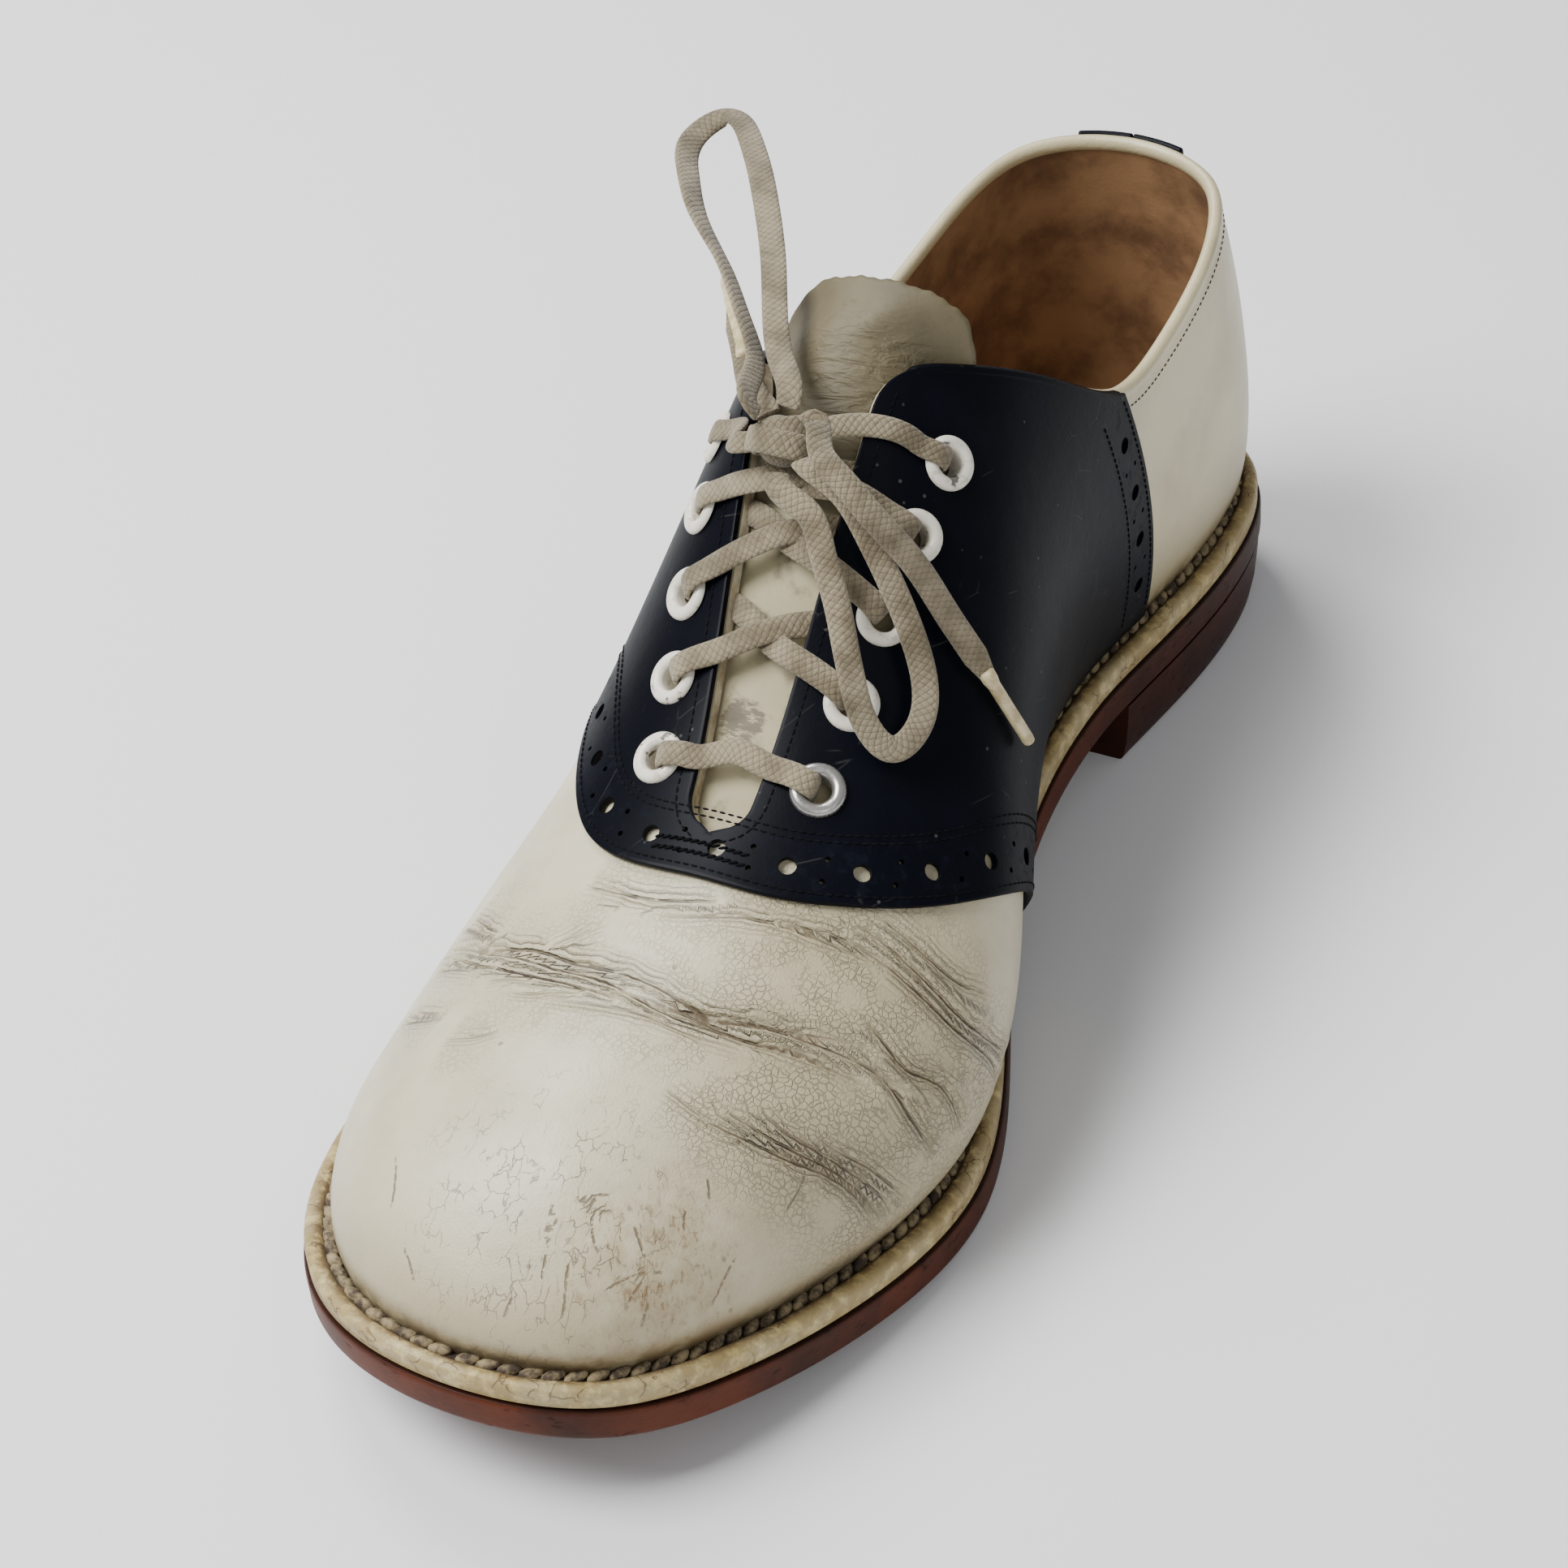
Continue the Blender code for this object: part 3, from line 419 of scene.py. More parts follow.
class Piece:
    """One mesh while it is made, in millimetres."""

    def __init__(self, name: str) -> None:
        """Start an empty mesh for the piece of that name."""
        self.name = name
        self.bm = bmesh.new()
        self.pattern: tuple | None = None

    def sheet(self, columns: int, rows: int, place: Place, fit: tuple[float, float] | None = None) -> None:
        """Add a grid and lay it in its place.

        Args:
            columns: faces along u.
            rows: faces along v.
            place: gives the points for arrays of u and v from 0 to 1.
            fit: lengths that u and v stand for in the UV map "fit", if it needs one.
        """
        if fit and not self.bm.loops.layers.uv:
            self.bm.loops.layers.uv.new("fit")
        made = bmesh.ops.create_grid(self.bm, x_segments=columns, y_segments=rows, size=0.5)["verts"]
        flat = np.array([v.co[:2] for v in made])
        flat = (flat - flat.min(0)) / (flat.max(0) - flat.min(0))
        if fit:
            spot = {vert: (u * fit[0], v * fit[1]) for vert, (u, v) in zip(made, flat)}
            layer = self.bm.loops.layers.uv.active
            for face in {face for vert in made for face in vert.link_faces}:
                for loop in face.loops:
                    loop[layer].uv = spot[loop.vert]
        for vert, point in zip(made, place(flat[:, 0], flat[:, 1])):
            vert.co = point

    def bead(self, centre: Array, axes: Array, halves: Triple, around: int = 7, rings: int = 5) -> None:
        """Add a small ellipsoid, such as a stitch.

        Args:
            centre: its middle.
            axes: rows of its three directions.
            halves: half its size along each of them.
            around: faces round it.
            rings: faces from pole to pole, along the third direction.
        """
        if self.pattern is None:
            ball = bmesh.new()
            bmesh.ops.create_uvsphere(ball, u_segments=around, v_segments=rings, radius=1.0)
            corners = np.array([v.co[:] for v in ball.verts])
            self.pattern = corners, [[v.index for v in face.verts] for face in ball.faces]
            ball.free()
        corners, faces = self.pattern
        placed = np.array(centre) + (corners * halves) @ np.array(axes)
        verts = [self.bm.verts.new(point) for point in placed]
        for face in faces:
            self.bm.faces.new([verts[i] for i in face])

    def turned(self, profile: Sequence, steps: int, point: Array, way: Array) -> None:
        """Turn a profile of radius and height, and stand it at its place.

        Args:
            profile: the points, the last like the first if it is a ring.
            steps: faces round it.
            point: where its height starts.
            way: the direction of its axis.
        """
        ring = profile[0] == profile[-1]
        verts = [self.bm.verts.new((r, 0.0, z)) for r, z in profile[:len(profile) - ring]]
        chain = verts + verts[:ring]
        edges = [self.bm.edges.new(pair) for pair in zip(chain, chain[1:])]
        bmesh.ops.spin(self.bm, geom=verts + edges, cent=(0, 0, 0), axis=(0, 0, 1), angle=2 * math.pi,
                       steps=steps, use_merge=True)
        self.weld(0.001)
        turn = Vector(way).to_track_quat("Z", "Y").to_matrix().to_4x4()
        bmesh.ops.transform(self.bm, matrix=Matrix.Translation(Vector(point)) @ turn, verts=self.bm.verts)

    def weld(self, distance: float = 0.02) -> None:
        """Close the seams and poles, and point the faces outwards."""
        bmesh.ops.remove_doubles(self.bm, verts=self.bm.verts, dist=distance)
        bmesh.ops.dissolve_degenerate(self.bm, edges=self.bm.edges, dist=distance / 2)
        bmesh.ops.recalc_face_normals(self.bm, faces=self.bm.faces)

    def spots(self) -> Pair:
        """Positions and normals of all its vertices."""
        self.bm.normal_update()
        return np.array([v.co[:] for v in self.bm.verts]), np.array([v.normal[:] for v in self.bm.verts])

    def move(self, points: Array) -> None:
        """Put its vertices at new points."""
        for vert, point in zip(self.bm.verts, points):
            vert.co = point

    def note(self, name: str, values: Array) -> None:
        """Keep a value at each vertex for the finish to read."""
        layer = self.bm.verts.layers.float.new(name)
        for vert, value in zip(self.bm.verts, values):
            vert[layer] = value

    def face_out(self, way: Callable[[Array], Array]) -> None:
        """Turn the whole mesh round if its normals point against the given directions."""
        points, normals = self.spots()
        if float(np.mean(np.sum(way(points) * normals, axis=1))) < 0.0:
            bmesh.ops.reverse_faces(self.bm, faces=self.bm.faces)

    def finish(self, materials: Sequence[Material], replaces: Sequence[str] = (),
               sharp: float = 50.0) -> Object:
        """Make the object and hand it to the frame.

        Args:
            materials: its finishes, the first on every face.
            replaces: solids of the frame that it stands for.
            sharp: angle in degrees from which an edge stays sharp.

        Returns:
            The object, at the origin.
        """
        bmesh.ops.scale(self.bm, vec=(MM, MM, MM), verts=self.bm.verts)
        mesh = bpy.data.meshes.new(self.name)
        self.bm.to_mesh(mesh)
        self.bm.free()
        mesh.shade_smooth()
        mesh.set_sharp_from_angle(angle=math.radians(sharp))
        made = in_scene(self.name, mesh)
        for material in materials:
            mesh.materials.append(material)
        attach(made, "root")
        if replaces:
            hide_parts(*replaces)
        LOG.info("%s: %d faces", self.name, len(mesh.polygons))
        return made


def in_scene(name: str, data: bpy.types.ID) -> Object:
    """A new object of the scene, at the origin."""
    made = bpy.data.objects.new(name, data)
    bpy.context.scene.collection.objects.link(made)
    return made


def aim(spot: Vector, target: Vector) -> Matrix:
    """Place of a camera or light at a spot that looks at a target."""
    return Matrix.Translation(spot) @ (target - spot).to_track_quat("-Z", "Y").to_matrix().to_4x4()


def add_wall(made: Object, thickness: float, outward: bool, inner: int = 0, rim: int = 0) -> None:
    """Give an open sheet its wall."""
    wall = made.modifiers.new("wall", "SOLIDIFY")
    wall.thickness = thickness * MM
    wall.offset = 1.0 if outward else -1.0
    wall.use_even_offset = True
    wall.material_offset = inner
    wall.material_offset_rim = rim


def add_rounding(made: Object, width: float) -> None:
    """Round the sharp edges of a piece."""
    bevel = made.modifiers.new("rounding", "BEVEL")
    bevel.width = width * MM
    bevel.segments = 2
    bevel.limit_method = "ANGLE"
    bevel.angle_limit = math.radians(60)


def settle(made: Object) -> None:
    """Make the result of an object's modifiers its own mesh."""
    graph = bpy.context.evaluated_depsgraph_get()
    mesh = bpy.data.meshes.new_from_object(made.evaluated_get(graph))
    made.modifiers.clear()
    old, made.data = made.data, mesh
    bpy.data.meshes.remove(old)


def cut_holes(made: Object, holes: Sequence[tuple[Array, Array, float]], deep: float, high: float) -> None:
    """Cut round holes through a closed piece.

    Args:
        made: the piece.
        holes: centre, outward normal and radius of each.
        deep: how far the cut goes in from the centre.
        high: how far it stands out.
    """
    bm = bmesh.new()
    for centre, normal, radius in holes:
        turn = Vector(normal).to_track_quat("Z", "Y").to_matrix().to_4x4()
        middle = Matrix.Translation((0.0, 0.0, 0.5 * (high - deep)))
        place = Matrix.Translation(Vector(centre)) @ turn @ middle
        bmesh.ops.create_cone(bm, cap_ends=True, segments=16 if radius > 1.0 else 10, radius1=radius,
                              radius2=radius, depth=deep + high, matrix=place)
    bmesh.ops.scale(bm, vec=(MM, MM, MM), verts=bm.verts)
    mesh = bpy.data.meshes.new("holes")
    bm.to_mesh(mesh)
    bm.free()
    cutter = in_scene("holes", mesh)
    cut = made.modifiers.new("holes", "BOOLEAN")
    cut.operation = "DIFFERENCE"
    cut.solver = "MANIFOLD"
    cut.object = cutter
    settle(made)
    bpy.data.objects.remove(cutter, do_unlink=True)
    made.data.shade_smooth()
    made.data.set_sharp_from_angle(angle=math.radians(40))


def srgb(red: float, green: float, blue: float) -> Triple:
    """Linear colour from the 0 to 255 values of a picture."""
    return tuple((c / 255 / 12.92) if c / 255 <= 0.04045 else ((c / 255 + 0.055) / 1.055) ** 2.4
                 for c in (red, green, blue))


def math_node(operation: str, reflected: bool = False) -> Callable:
    """A method that adds one Math node over a socket and others, or over others and the socket."""
    def method(self: "Socket", *others: "Socket | float") -> "Socket":
        """Result of the operation."""
        values = (*others, self) if reflected else (self, *others)
        return self.board.add("ShaderNodeMath", {"operation": operation}, dict(enumerate(values)))
    return method


class Socket:
    """An output socket of a material, with arithmetic that adds Math nodes."""

    __add__ = __radd__ = math_node("ADD")
    __sub__ = math_node("SUBTRACT")
    __rsub__ = math_node("SUBTRACT", reflected=True)
    __mul__ = __rmul__ = math_node("MULTIPLY")
    __truediv__ = math_node("DIVIDE")
    __pow__ = math_node("POWER")
    size = math_node("ABSOLUTE")
    sine = math_node("SINE")
    larger = math_node("MAXIMUM")
    smaller = math_node("MINIMUM")

    def __init__(self, board: "Board", socket: bpy.types.NodeSocket) -> None:
        """Wrap one socket of a board."""
        self.board = board
        self.socket = socket

    def step(self, low: float, high: float) -> "Socket":
        """Soft step from 0 at low to 1 at high, either way round."""
        rising = low < high
        ends = {1: min(low, high), 2: max(low, high), 3: 0.0 if rising else 1.0, 4: 1.0 if rising else 0.0}
        return self.board.add("ShaderNodeMapRange", {"interpolation_type": "SMOOTHSTEP"}, {0: self, **ends})


class Board:
    """The nodes of one material."""

    def __init__(self, name: str, color: tuple) -> None:
        """Start a material of one colour with its Principled shader."""
        self.material = bpy.data.materials.new(name)
        self.material.use_nodes = True
        self.tree = self.material.node_tree
        self.shader = self.tree.nodes["Principled BSDF"]
        self.base: Socket | tuple = color
        self.normal: Socket | None = None

    def add(self, kind: str, settings: dict | None = None, values: dict | None = None,
            output: int | str = 0) -> Socket:
        """Add a node.

        Args:
            kind: the node's type.
            settings: its own settings, set first.
            values: numbers, colours or sockets for its inputs, by index or name.
            output: which output is wanted.

        Returns:
            That output.
        """
        node = self.tree.nodes.new(kind)
        for name, value in (settings or {}).items():
            setattr(node, name, value)
        for key, value in (values or {}).items():
            self.link(node.inputs[key], value)
        return Socket(self, node.outputs[output])

    def link(self, target: bpy.types.NodeSocket, value: object) -> None:
        """Link a socket to an input, or set the input's own value."""
        if isinstance(value, Socket):
            self.tree.links.new(value.socket, target)
        elif isinstance(value, tuple) and len(value) == 3 and target.type == "RGBA":
            target.default_value = (*value, 1.0)
        else:
            target.default_value = value

    def place(self, scale: Triple = (1.0, 1.0, 1.0), turn: Triple = (0.0, 0.0, 0.0)) -> Socket:
        """Position on the object, turned and stretched, for patterns that run one way."""
        spot = self.add("ShaderNodeTexCoord", output="Object")
        if scale == (1.0, 1.0, 1.0) and turn == (0.0, 0.0, 0.0):
            return spot
        angles = tuple(map(math.radians, turn))
        turned = self.add("ShaderNodeMapping", {}, {"Vector": spot, "Rotation": angles})
        return self.vector("MULTIPLY", {0: turned, 1: scale})

    def vector(self, operation: str, values: dict, output: int | str = 0) -> Socket:
        """Add one Vector Math node."""
        return self.add("ShaderNodeVectorMath", {"operation": operation}, values, output)

    def noise(self, grain: float, detail: float = 3.0, rough: float = 0.55, vector: Socket | None = None,
              distort: float = 0.0) -> Socket:
        """Noise from 0 to 1 whose spots are about grain millimetres across."""
        return self.add("ShaderNodeTexNoise", {}, {
            "Vector": vector or self.place(), "Scale": 1.0 / (grain * MM), "Detail": detail,
            "Roughness": rough, "Distortion": distort})

    def cells(self, grain: float, vector: Socket | None = None, feature: str = "DISTANCE_TO_EDGE") -> Socket:
        """Voronoi cells about grain millimetres across: distance to the edge or to the middle."""
        return self.add("ShaderNodeTexVoronoi", {"feature": feature}, {
            "Vector": vector or self.place(), "Scale": 1.0 / (grain * MM)})

    def wobble(self, amount: float, grain: float, vector: Socket | None = None) -> Socket:
        """Position pushed about by noise, amount in millimetres."""
        base = vector or self.place()
        push = self.add("ShaderNodeTexNoise", {}, {
            "Vector": base, "Scale": 1.0 / (grain * MM), "Detail": 2.0}, output=1)
        centred = self.vector("SUBTRACT", {0: push, 1: (0.5, 0.5, 0.5)})
        return self.vector("ADD", {0: base, 1: self.vector("SCALE", {0: centred, "Scale": 2 * amount * MM})})

    def kept(self, name: str) -> Socket:
        """A value kept on the mesh."""
        return self.add("ShaderNodeAttribute", {"attribute_name": name}, output="Fac")

    def fit(self) -> tuple[Socket, Socket]:
        """The two coordinates of the UV map "fit"."""
        uv = self.add("ShaderNodeUVMap", {"uv_map": "fit"})
        return tuple(self.add("ShaderNodeSeparateXYZ", {}, {0: uv}, output=i) for i in (0, 1))

    def spot(self, centre: Triple, radius: float, soft: float = 0.5) -> Socket:
        """Soft ball mask round a point in millimetres: 1 inside and 0 beyond the radius."""
        away = self.vector("DISTANCE", {0: self.place(), 1: tuple(c * MM for c in centre)}, "Value")
        return away.step(radius * MM, radius * soft * MM)

    def along(self, axis: int) -> Socket:
        """Position along one axis in millimetres."""
        return self.add("ShaderNodeSeparateXYZ", {}, {0: self.place()}, output=axis) * 1000.0

    def paint(self, factor: Socket | float, color: tuple) -> None:
        """Mix a colour over what is painted so far."""
        self.base = self.add("ShaderNodeMix", {"data_type": "RGBA"}, {0: factor, 6: self.base, 7: color},
                             output=2)

    def press(self, height: Socket, depth: float) -> None:
        """Add a relief, from a height of 0 to 1 that stands for depth millimetres."""
        under = {"Normal": self.normal} if self.normal else {}
        self.normal = self.add("ShaderNodeBump", {}, {
            "Height": height, "Distance": depth * MM, "Strength": 1.0, **under})

    def done(self, **inputs: object) -> Material:
        """Set the shader's inputs by name, with underscores for spaces, and its colour and relief."""
        if self.normal:
            inputs["Normal"] = self.normal
        for name, value in {"Base_Color": self.base, **inputs}.items():
            self.link(self.shader.inputs[name.replace("_", " ")], value)
        return self.material


@dataclass(frozen=True)
class PaleLeather:
    """Off-white leather of vamp and quarters: grain, creases, crackle, scuffs, grime and painted shade."""

    name: str = "pale_leather"
    front: tuple = srgb(206, 197, 167)
    rear: tuple = srgb(202, 190, 152)
    shadow: tuple = srgb(146, 132, 98)
    crease: tuple = srgb(70, 52, 28)
    stain: tuple = srgb(138, 104, 54)
    hair_pitch: float = 1.15

    def build(self) -> Material:
        """The material."""
        b = Board(self.name, self.front)
        away = b.along(1)
        b.paint(away.step(-40.0, 60.0), self.rear)
        cloud = b.noise(26.0, 4.0)
        b.paint(cloud.step(0.42, 0.72) * 0.35, self.shadow)
        flex, low = b.kept("flex"), b.kept("low")
        side = b.along(0)
        vamp = away.step(-45.0, -60.0)
        # inner is the medial side of the vamp, which turns away from the light; it takes painted shade, more
        # crackle and more roughness.
        inner = side.step(4.0, 36.0) * away.step(-112.0, -88.0) * vamp
        # Painted shade over the creased zone round the folds and on the medial side of the vamp.
        b.paint((flex * 0.26 + inner * 0.40).smaller(0.7), self.shadow)
        # Painted shade that deepens towards the foot of the upper by the welt.
        b.paint(low.step(24.0, 1.0) * 0.75, self.shadow)
        # A patchy dark band along the foot of the upper by the welt: partly dirt, partly painted shade.
        grime = low.step(7.0, 0.4) * b.noise(5.0, 4.0).step(0.22, 0.6)
        b.paint(grime * 0.8, self.crease)
        crackle = b.cells(1.15, b.wobble(0.7, 2.0)).step(0.12, 0.02) * b.noise(6.0).step(0.30, 0.56)
        crackle = crackle * (flex.step(0.10, 0.6) * 0.5 + inner * 0.7).smaller(1.0)
        seam, near, trace = b.kept("seam"), b.kept("near"), b.kept("trace")
        track = seam + (b.noise(7.0, 1.0) - 0.5) * 2.6 + (b.noise(1.4, 1.0) - 0.5) * 0.45
        wave = (track * (2 * math.pi / self.hair_pitch)).sine()
        beside = near.step(4.4, 0.6) * trace
        hairs = wave.step(0.86, 0.99) * beside * b.noise(7.0, 2.0).step(0.30, 0.48)
        main = (seam + (b.noise(1.6, 2.0) - 0.5) * 0.5).size().step(0.36, 0.06) * near.step(1.3, 0.5) * trace
        main = main * b.noise(4.0, 2.0).step(0.22, 0.42)
        toe = b.spot((10.0, -120.0, 43.0), 32.0, 0.3)
        cracks = b.cells(3.6, b.wobble(2.4, 3.0, b.place((1.5, 1.0, 0.8))))
        cracks = cracks.step(0.030, 0.006) * b.noise(5.0).step(0.47, 0.58) * toe
        slash = (b.kept("crack") + (b.noise(0.8, 2.0) - 0.5) * 0.5).size().step(0.34, 0.08)
        slash = slash * b.kept("crack_near").step(1.4, 0.4) * b.kept("cracked").step(0.15, 0.6)
        slash = slash * b.noise(1.3, 2.0).step(0.36, 0.50)
        marks = main.larger(hairs * 0.8).larger(crackle * 0.45).larger(cracks * 0.55).larger(slash * 0.75)
        b.paint(marks * 0.95, self.crease)
        patch = b.spot((27.0, -118.0, 36.0), 26.0, 0.1) * b.noise(5.0, 5.0, 0.65).step(0.28, 0.66)
        scratch = b.noise(0.8, 3.0, 0.6, b.place((1.0, 0.16, 0.5), (0.0, 0.0, -34.0))).step(0.56, 0.62)
        b.paint(patch * 0.45 + patch * scratch * 0.3, self.stain)
        b.paint(patch * scratch * 0.25, self.crease)
        specks = b.cells(6.0, feature="F1").step(0.11, 0.05) * b.noise(9.0).step(0.52, 0.6) * vamp
        b.paint(specks * 0.55, self.crease)
        grain = b.cells(0.75, b.wobble(0.25, 1.2)).step(0.0, 0.35) * 0.5 + b.noise(0.5, 3.0) * 0.5
        b.press(grain, 0.04)
        b.press(b.noise(3.0, 2.0), 0.14)
        b.press(0.5 - wave * beside * 0.5, 0.34)
        b.press(1.0 - marks, 0.26)
        rough = 0.34 + cloud * 0.16 + marks * 0.3 + patch * 0.2 + inner * 0.1
        return b.done(Roughness=rough, Coat_Weight=0.25, Coat_Roughness=0.26)


@dataclass(frozen=True)
class DarkLeather:
    """Near-black navy leather of saddle and heel tab, polished, with dust in its holes and edges."""

    name: str = "dark_leather"
    color: tuple = srgb(6, 8, 15)
    haze: tuple = srgb(20, 24, 36)
    dust: tuple = srgb(120, 120, 116)

    def build(self) -> Material:
        """The material."""
        b = Board(self.name, self.color)
        cloud = b.noise(22.0, 4.0)
        b.paint(cloud.step(0.45, 0.8) * 0.35, self.haze)
        worn = b.kept("band") * b.noise(2.6, 4.0, 0.65).step(0.5, 0.7)
        b.paint(worn * 0.32, self.haze)
        scratch = b.cells(9.0, b.place((1.0, 0.12, 1.0), (0.0, 0.0, 34.0))).step(0.012, 0.003)
        scratch = scratch * b.noise(12.0).step(0.55, 0.62)
        specks = b.cells(3.4, feature="F1").step(0.12, 0.05) * b.noise(8.0).step(0.5, 0.6)
        b.paint((scratch * 0.10).larger(specks * 0.28), self.dust)
        grain = b.cells(0.9, b.wobble(0.3, 1.4)).step(0.0, 0.3) * 0.6 + b.noise(0.5, 3.0) * 0.4
        b.press(grain, 0.018)
        b.press(b.noise(4.0, 2.0), 0.10)
        rough = 0.36 + cloud * 0.2 + worn * 0.2
        return b.done(Roughness=rough, Specular_IOR_Level=0.03, Coat_Weight=0.1, Coat_Roughness=0.3)


@dataclass(frozen=True)
class TongueLeather:
    """Thin grey-beige leather of the tongue, wrinkled across under the bow."""

    name: str = "tongue_leather"
    color: tuple = srgb(100, 91, 66)
    dull: tuple = srgb(74, 66, 45)
    pale: tuple = srgb(176, 166, 132)
    line: tuple = srgb(78, 68, 52)

    def build(self) -> Material:
        """The material."""
        b = Board(self.name, self.color)
        b.paint(b.noise(14.0, 5.0).step(0.35, 0.7) * 0.6, self.dull)
        away = b.along(1)
        b.paint(away.step(4.0, -12.0) * b.noise(5.0, 4.0).step(0.2, 0.5) * 0.85, self.pale)
        torn = b.spot((0.5, -33.0, 74.0), 7.5, 0.4) * b.noise(1.6, 4.0, 0.7, b.place((0.5, 1.4, 1.0)))
        b.paint(torn.step(0.34, 0.5) * 0.8, self.line)
        wrinkles = b.noise(2.0, 3.0, 0.55, b.place((0.22, 1.0, 1.0), (0.0, 0.0, -8.0)), 0.6)
        zone = b.spot((2.0, 14.0, 113.0), 17.0, 0.35)
        line = (wrinkles - 0.5).size().step(0.035, 0.006) * zone
        b.paint(line * 0.5, self.line)
        dirt = b.noise(4.0, 5.0, 0.7).step(0.55, 0.75)
        b.paint(dirt * 0.3, self.dull)
        b.press(b.noise(0.7, 4.0), 0.05)
        b.press(wrinkles * zone, 0.9)
        return b.done(Roughness=0.62 + dirt * 0.15)


@dataclass(frozen=True)
class PlainLeather:
    """Leather with soft clouds and grain, for lining, insole and edges."""

    name: str
    color: tuple
    dark: tuple
    rough: float = 0.75
    cloud: float = 16.0

    def build(self) -> Material:
        """The material."""
        b = Board(self.name, self.color)
        cloud = b.noise(self.cloud, 5.0, 0.6)
        b.paint(cloud.step(0.35, 0.7), self.dark)
        b.press(b.noise(0.8, 5.0, 0.6), 0.06)
        return b.done(Roughness=self.rough + cloud * 0.1)


@dataclass(frozen=True)
class WeltLeather:
    """Cream-yellow welt with brown grime, thickest in the groove by the upper."""

    name: str = "welt_leather"
    color: tuple = srgb(186, 165, 108)
    pale: tuple = srgb(204, 188, 138)
    grime: tuple = srgb(88, 64, 36)
    dark: tuple = srgb(50, 40, 30)

    def build(self) -> Material:
        """The material."""
        b = Board(self.name, self.color)
        b.paint(b.noise(9.0, 4.0).step(0.4, 0.65), self.pale)
        inner = b.kept("groove")
        smear = b.noise(3.0, 5.0, 0.7)
        dirt = (inner * 0.95 + 0.60) * smear.step(0.30, 0.56)
        b.paint(dirt.smaller(1.0) * 0.82, self.grime)
        b.paint(inner.step(0.5, 0.95) * b.noise(2.0, 4.0).step(0.25, 0.5) * 0.9, self.dark)
        nicks = b.cells(5.0, b.wobble(2.0, 3.0)).step(0.03, 0.008) * b.noise(6.0).step(0.5, 0.6)
        b.paint(nicks * 0.6, self.grime)
        b.press(b.noise(1.0, 5.0, 0.65), 0.12)
        b.press(1.0 - nicks, 0.15)
        return b.done(Roughness=0.5 + dirt * 0.2, Coat_Weight=0.1)


@dataclass(frozen=True)
class BrickRubber:
    """Brick-brown sole edge with dark scuffs, darker at the heel."""

    name: str = "brick_rubber"
    color: tuple = srgb(84, 36, 13)
    deep: tuple = srgb(48, 20, 8)
    heel: tuple = srgb(40, 16, 8)
    scuff: tuple = srgb(20, 11, 6)

    def build(self) -> Material:
        """The material."""
        b = Board(self.name, self.color)
        b.paint(b.noise(18.0, 4.0).step(0.35, 0.7), self.deep)
        away = b.along(1)
        b.paint(away.step(10.0, 110.0) * 0.75, self.heel)
        rubbed = b.noise(2.2, 5.0, 0.7, b.place((0.5, 0.5, 1.4))).step(0.57, 0.7)
        b.paint(rubbed * 0.6, self.scuff)
        b.paint(b.kept("edge").step(0.55, 0.95) * 0.7, self.scuff)
        b.press(b.noise(0.9, 5.0, 0.6, b.place((1.0, 1.0, 2.0))), 0.07)
        return b.done(Roughness=0.5 + rubbed * 0.25, Specular_IOR_Level=0.16)


@dataclass(frozen=True)
class CottonBraid:
    """Flat cotton braid: strands in a herringbone, soiled and matte."""

    name: str = "cotton_braid"
    color: tuple = srgb(144, 132, 107)
    soiled: tuple = srgb(102, 91, 68)
    shade: tuple = srgb(54, 46, 32)
    pitch: float = 1.3
    cells_across: float = 1.5

    def build(self) -> Material:
        """The material."""
        b = Board(self.name, self.color)
        along, round_it = b.fit()
        across = (round_it * (2 * math.pi) + math.pi / 2).sine() * self.cells_across
        rising = ((along / self.pitch + across) * math.pi).sine()
        falling = ((along / self.pitch - across) * math.pi).sine()
        strand = (rising * falling).size() ** 0.5
        between = strand.step(0.45, 0.05)
        b.paint(b.noise(7.0, 5.0).step(0.35, 0.68), self.soiled)
        b.paint(between * 0.55, self.shade)
        yarn = b.noise(0.45, 4.0, 0.7)
        b.paint(yarn.step(0.55, 0.75) * 0.35, self.shade)
        b.paint(b.noise(1.4, 3.0).step(0.6, 0.72) * 0.4, self.soiled)
        b.press(strand, 0.18)
        b.press(yarn, 0.18)
        return b.done(Roughness=0.92, Sheen_Weight=0.25, Sheen_Roughness=0.5)


@dataclass(frozen=True)
class PaintedMetal:
    """Cream enamel on an eyelet, worn through to metal."""

    name: str = "painted_metal"
    paint: tuple = srgb(226, 220, 204)
    metal: tuple = srgb(150, 146, 138)
    worn: float = 0.6
    dirt: tuple = srgb(120, 106, 84)

    def build(self) -> Material:
        """The material."""
        b = Board(self.name, self.paint)
        bare = b.noise(4.0, 3.0, 0.6).step(self.worn, self.worn + 0.05)
        dirt = b.noise(1.6, 4.0).step(0.52, 0.72)
        b.paint(bare, self.metal)
        b.paint(dirt * 0.35, self.dirt)
        b.press(b.noise(1.4, 2.0), 0.03)
        return b.done(Metallic=bare * 0.8, Roughness=0.38 - bare * 0.12 + dirt * 0.2, Coat_Weight=0.2)


@dataclass(frozen=True)
class Thread:
    """Waxed thread or rope stitch of one colour with some grime."""

    name: str
    color: tuple
    dirt: tuple
    rough: float = 0.6
    shine: float = 0.5

    def build(self) -> Material:
        """The material."""
        b = Board(self.name, self.color)
        spread = b.noise(2.6, 4.0, 0.65)
        b.paint(spread.step(0.36, 0.64), self.dirt)
        b.press(b.noise(0.35, 3.0), 0.06)
        return b.done(Roughness=self.rough + spread * 0.1, Specular_IOR_Level=self.shine)


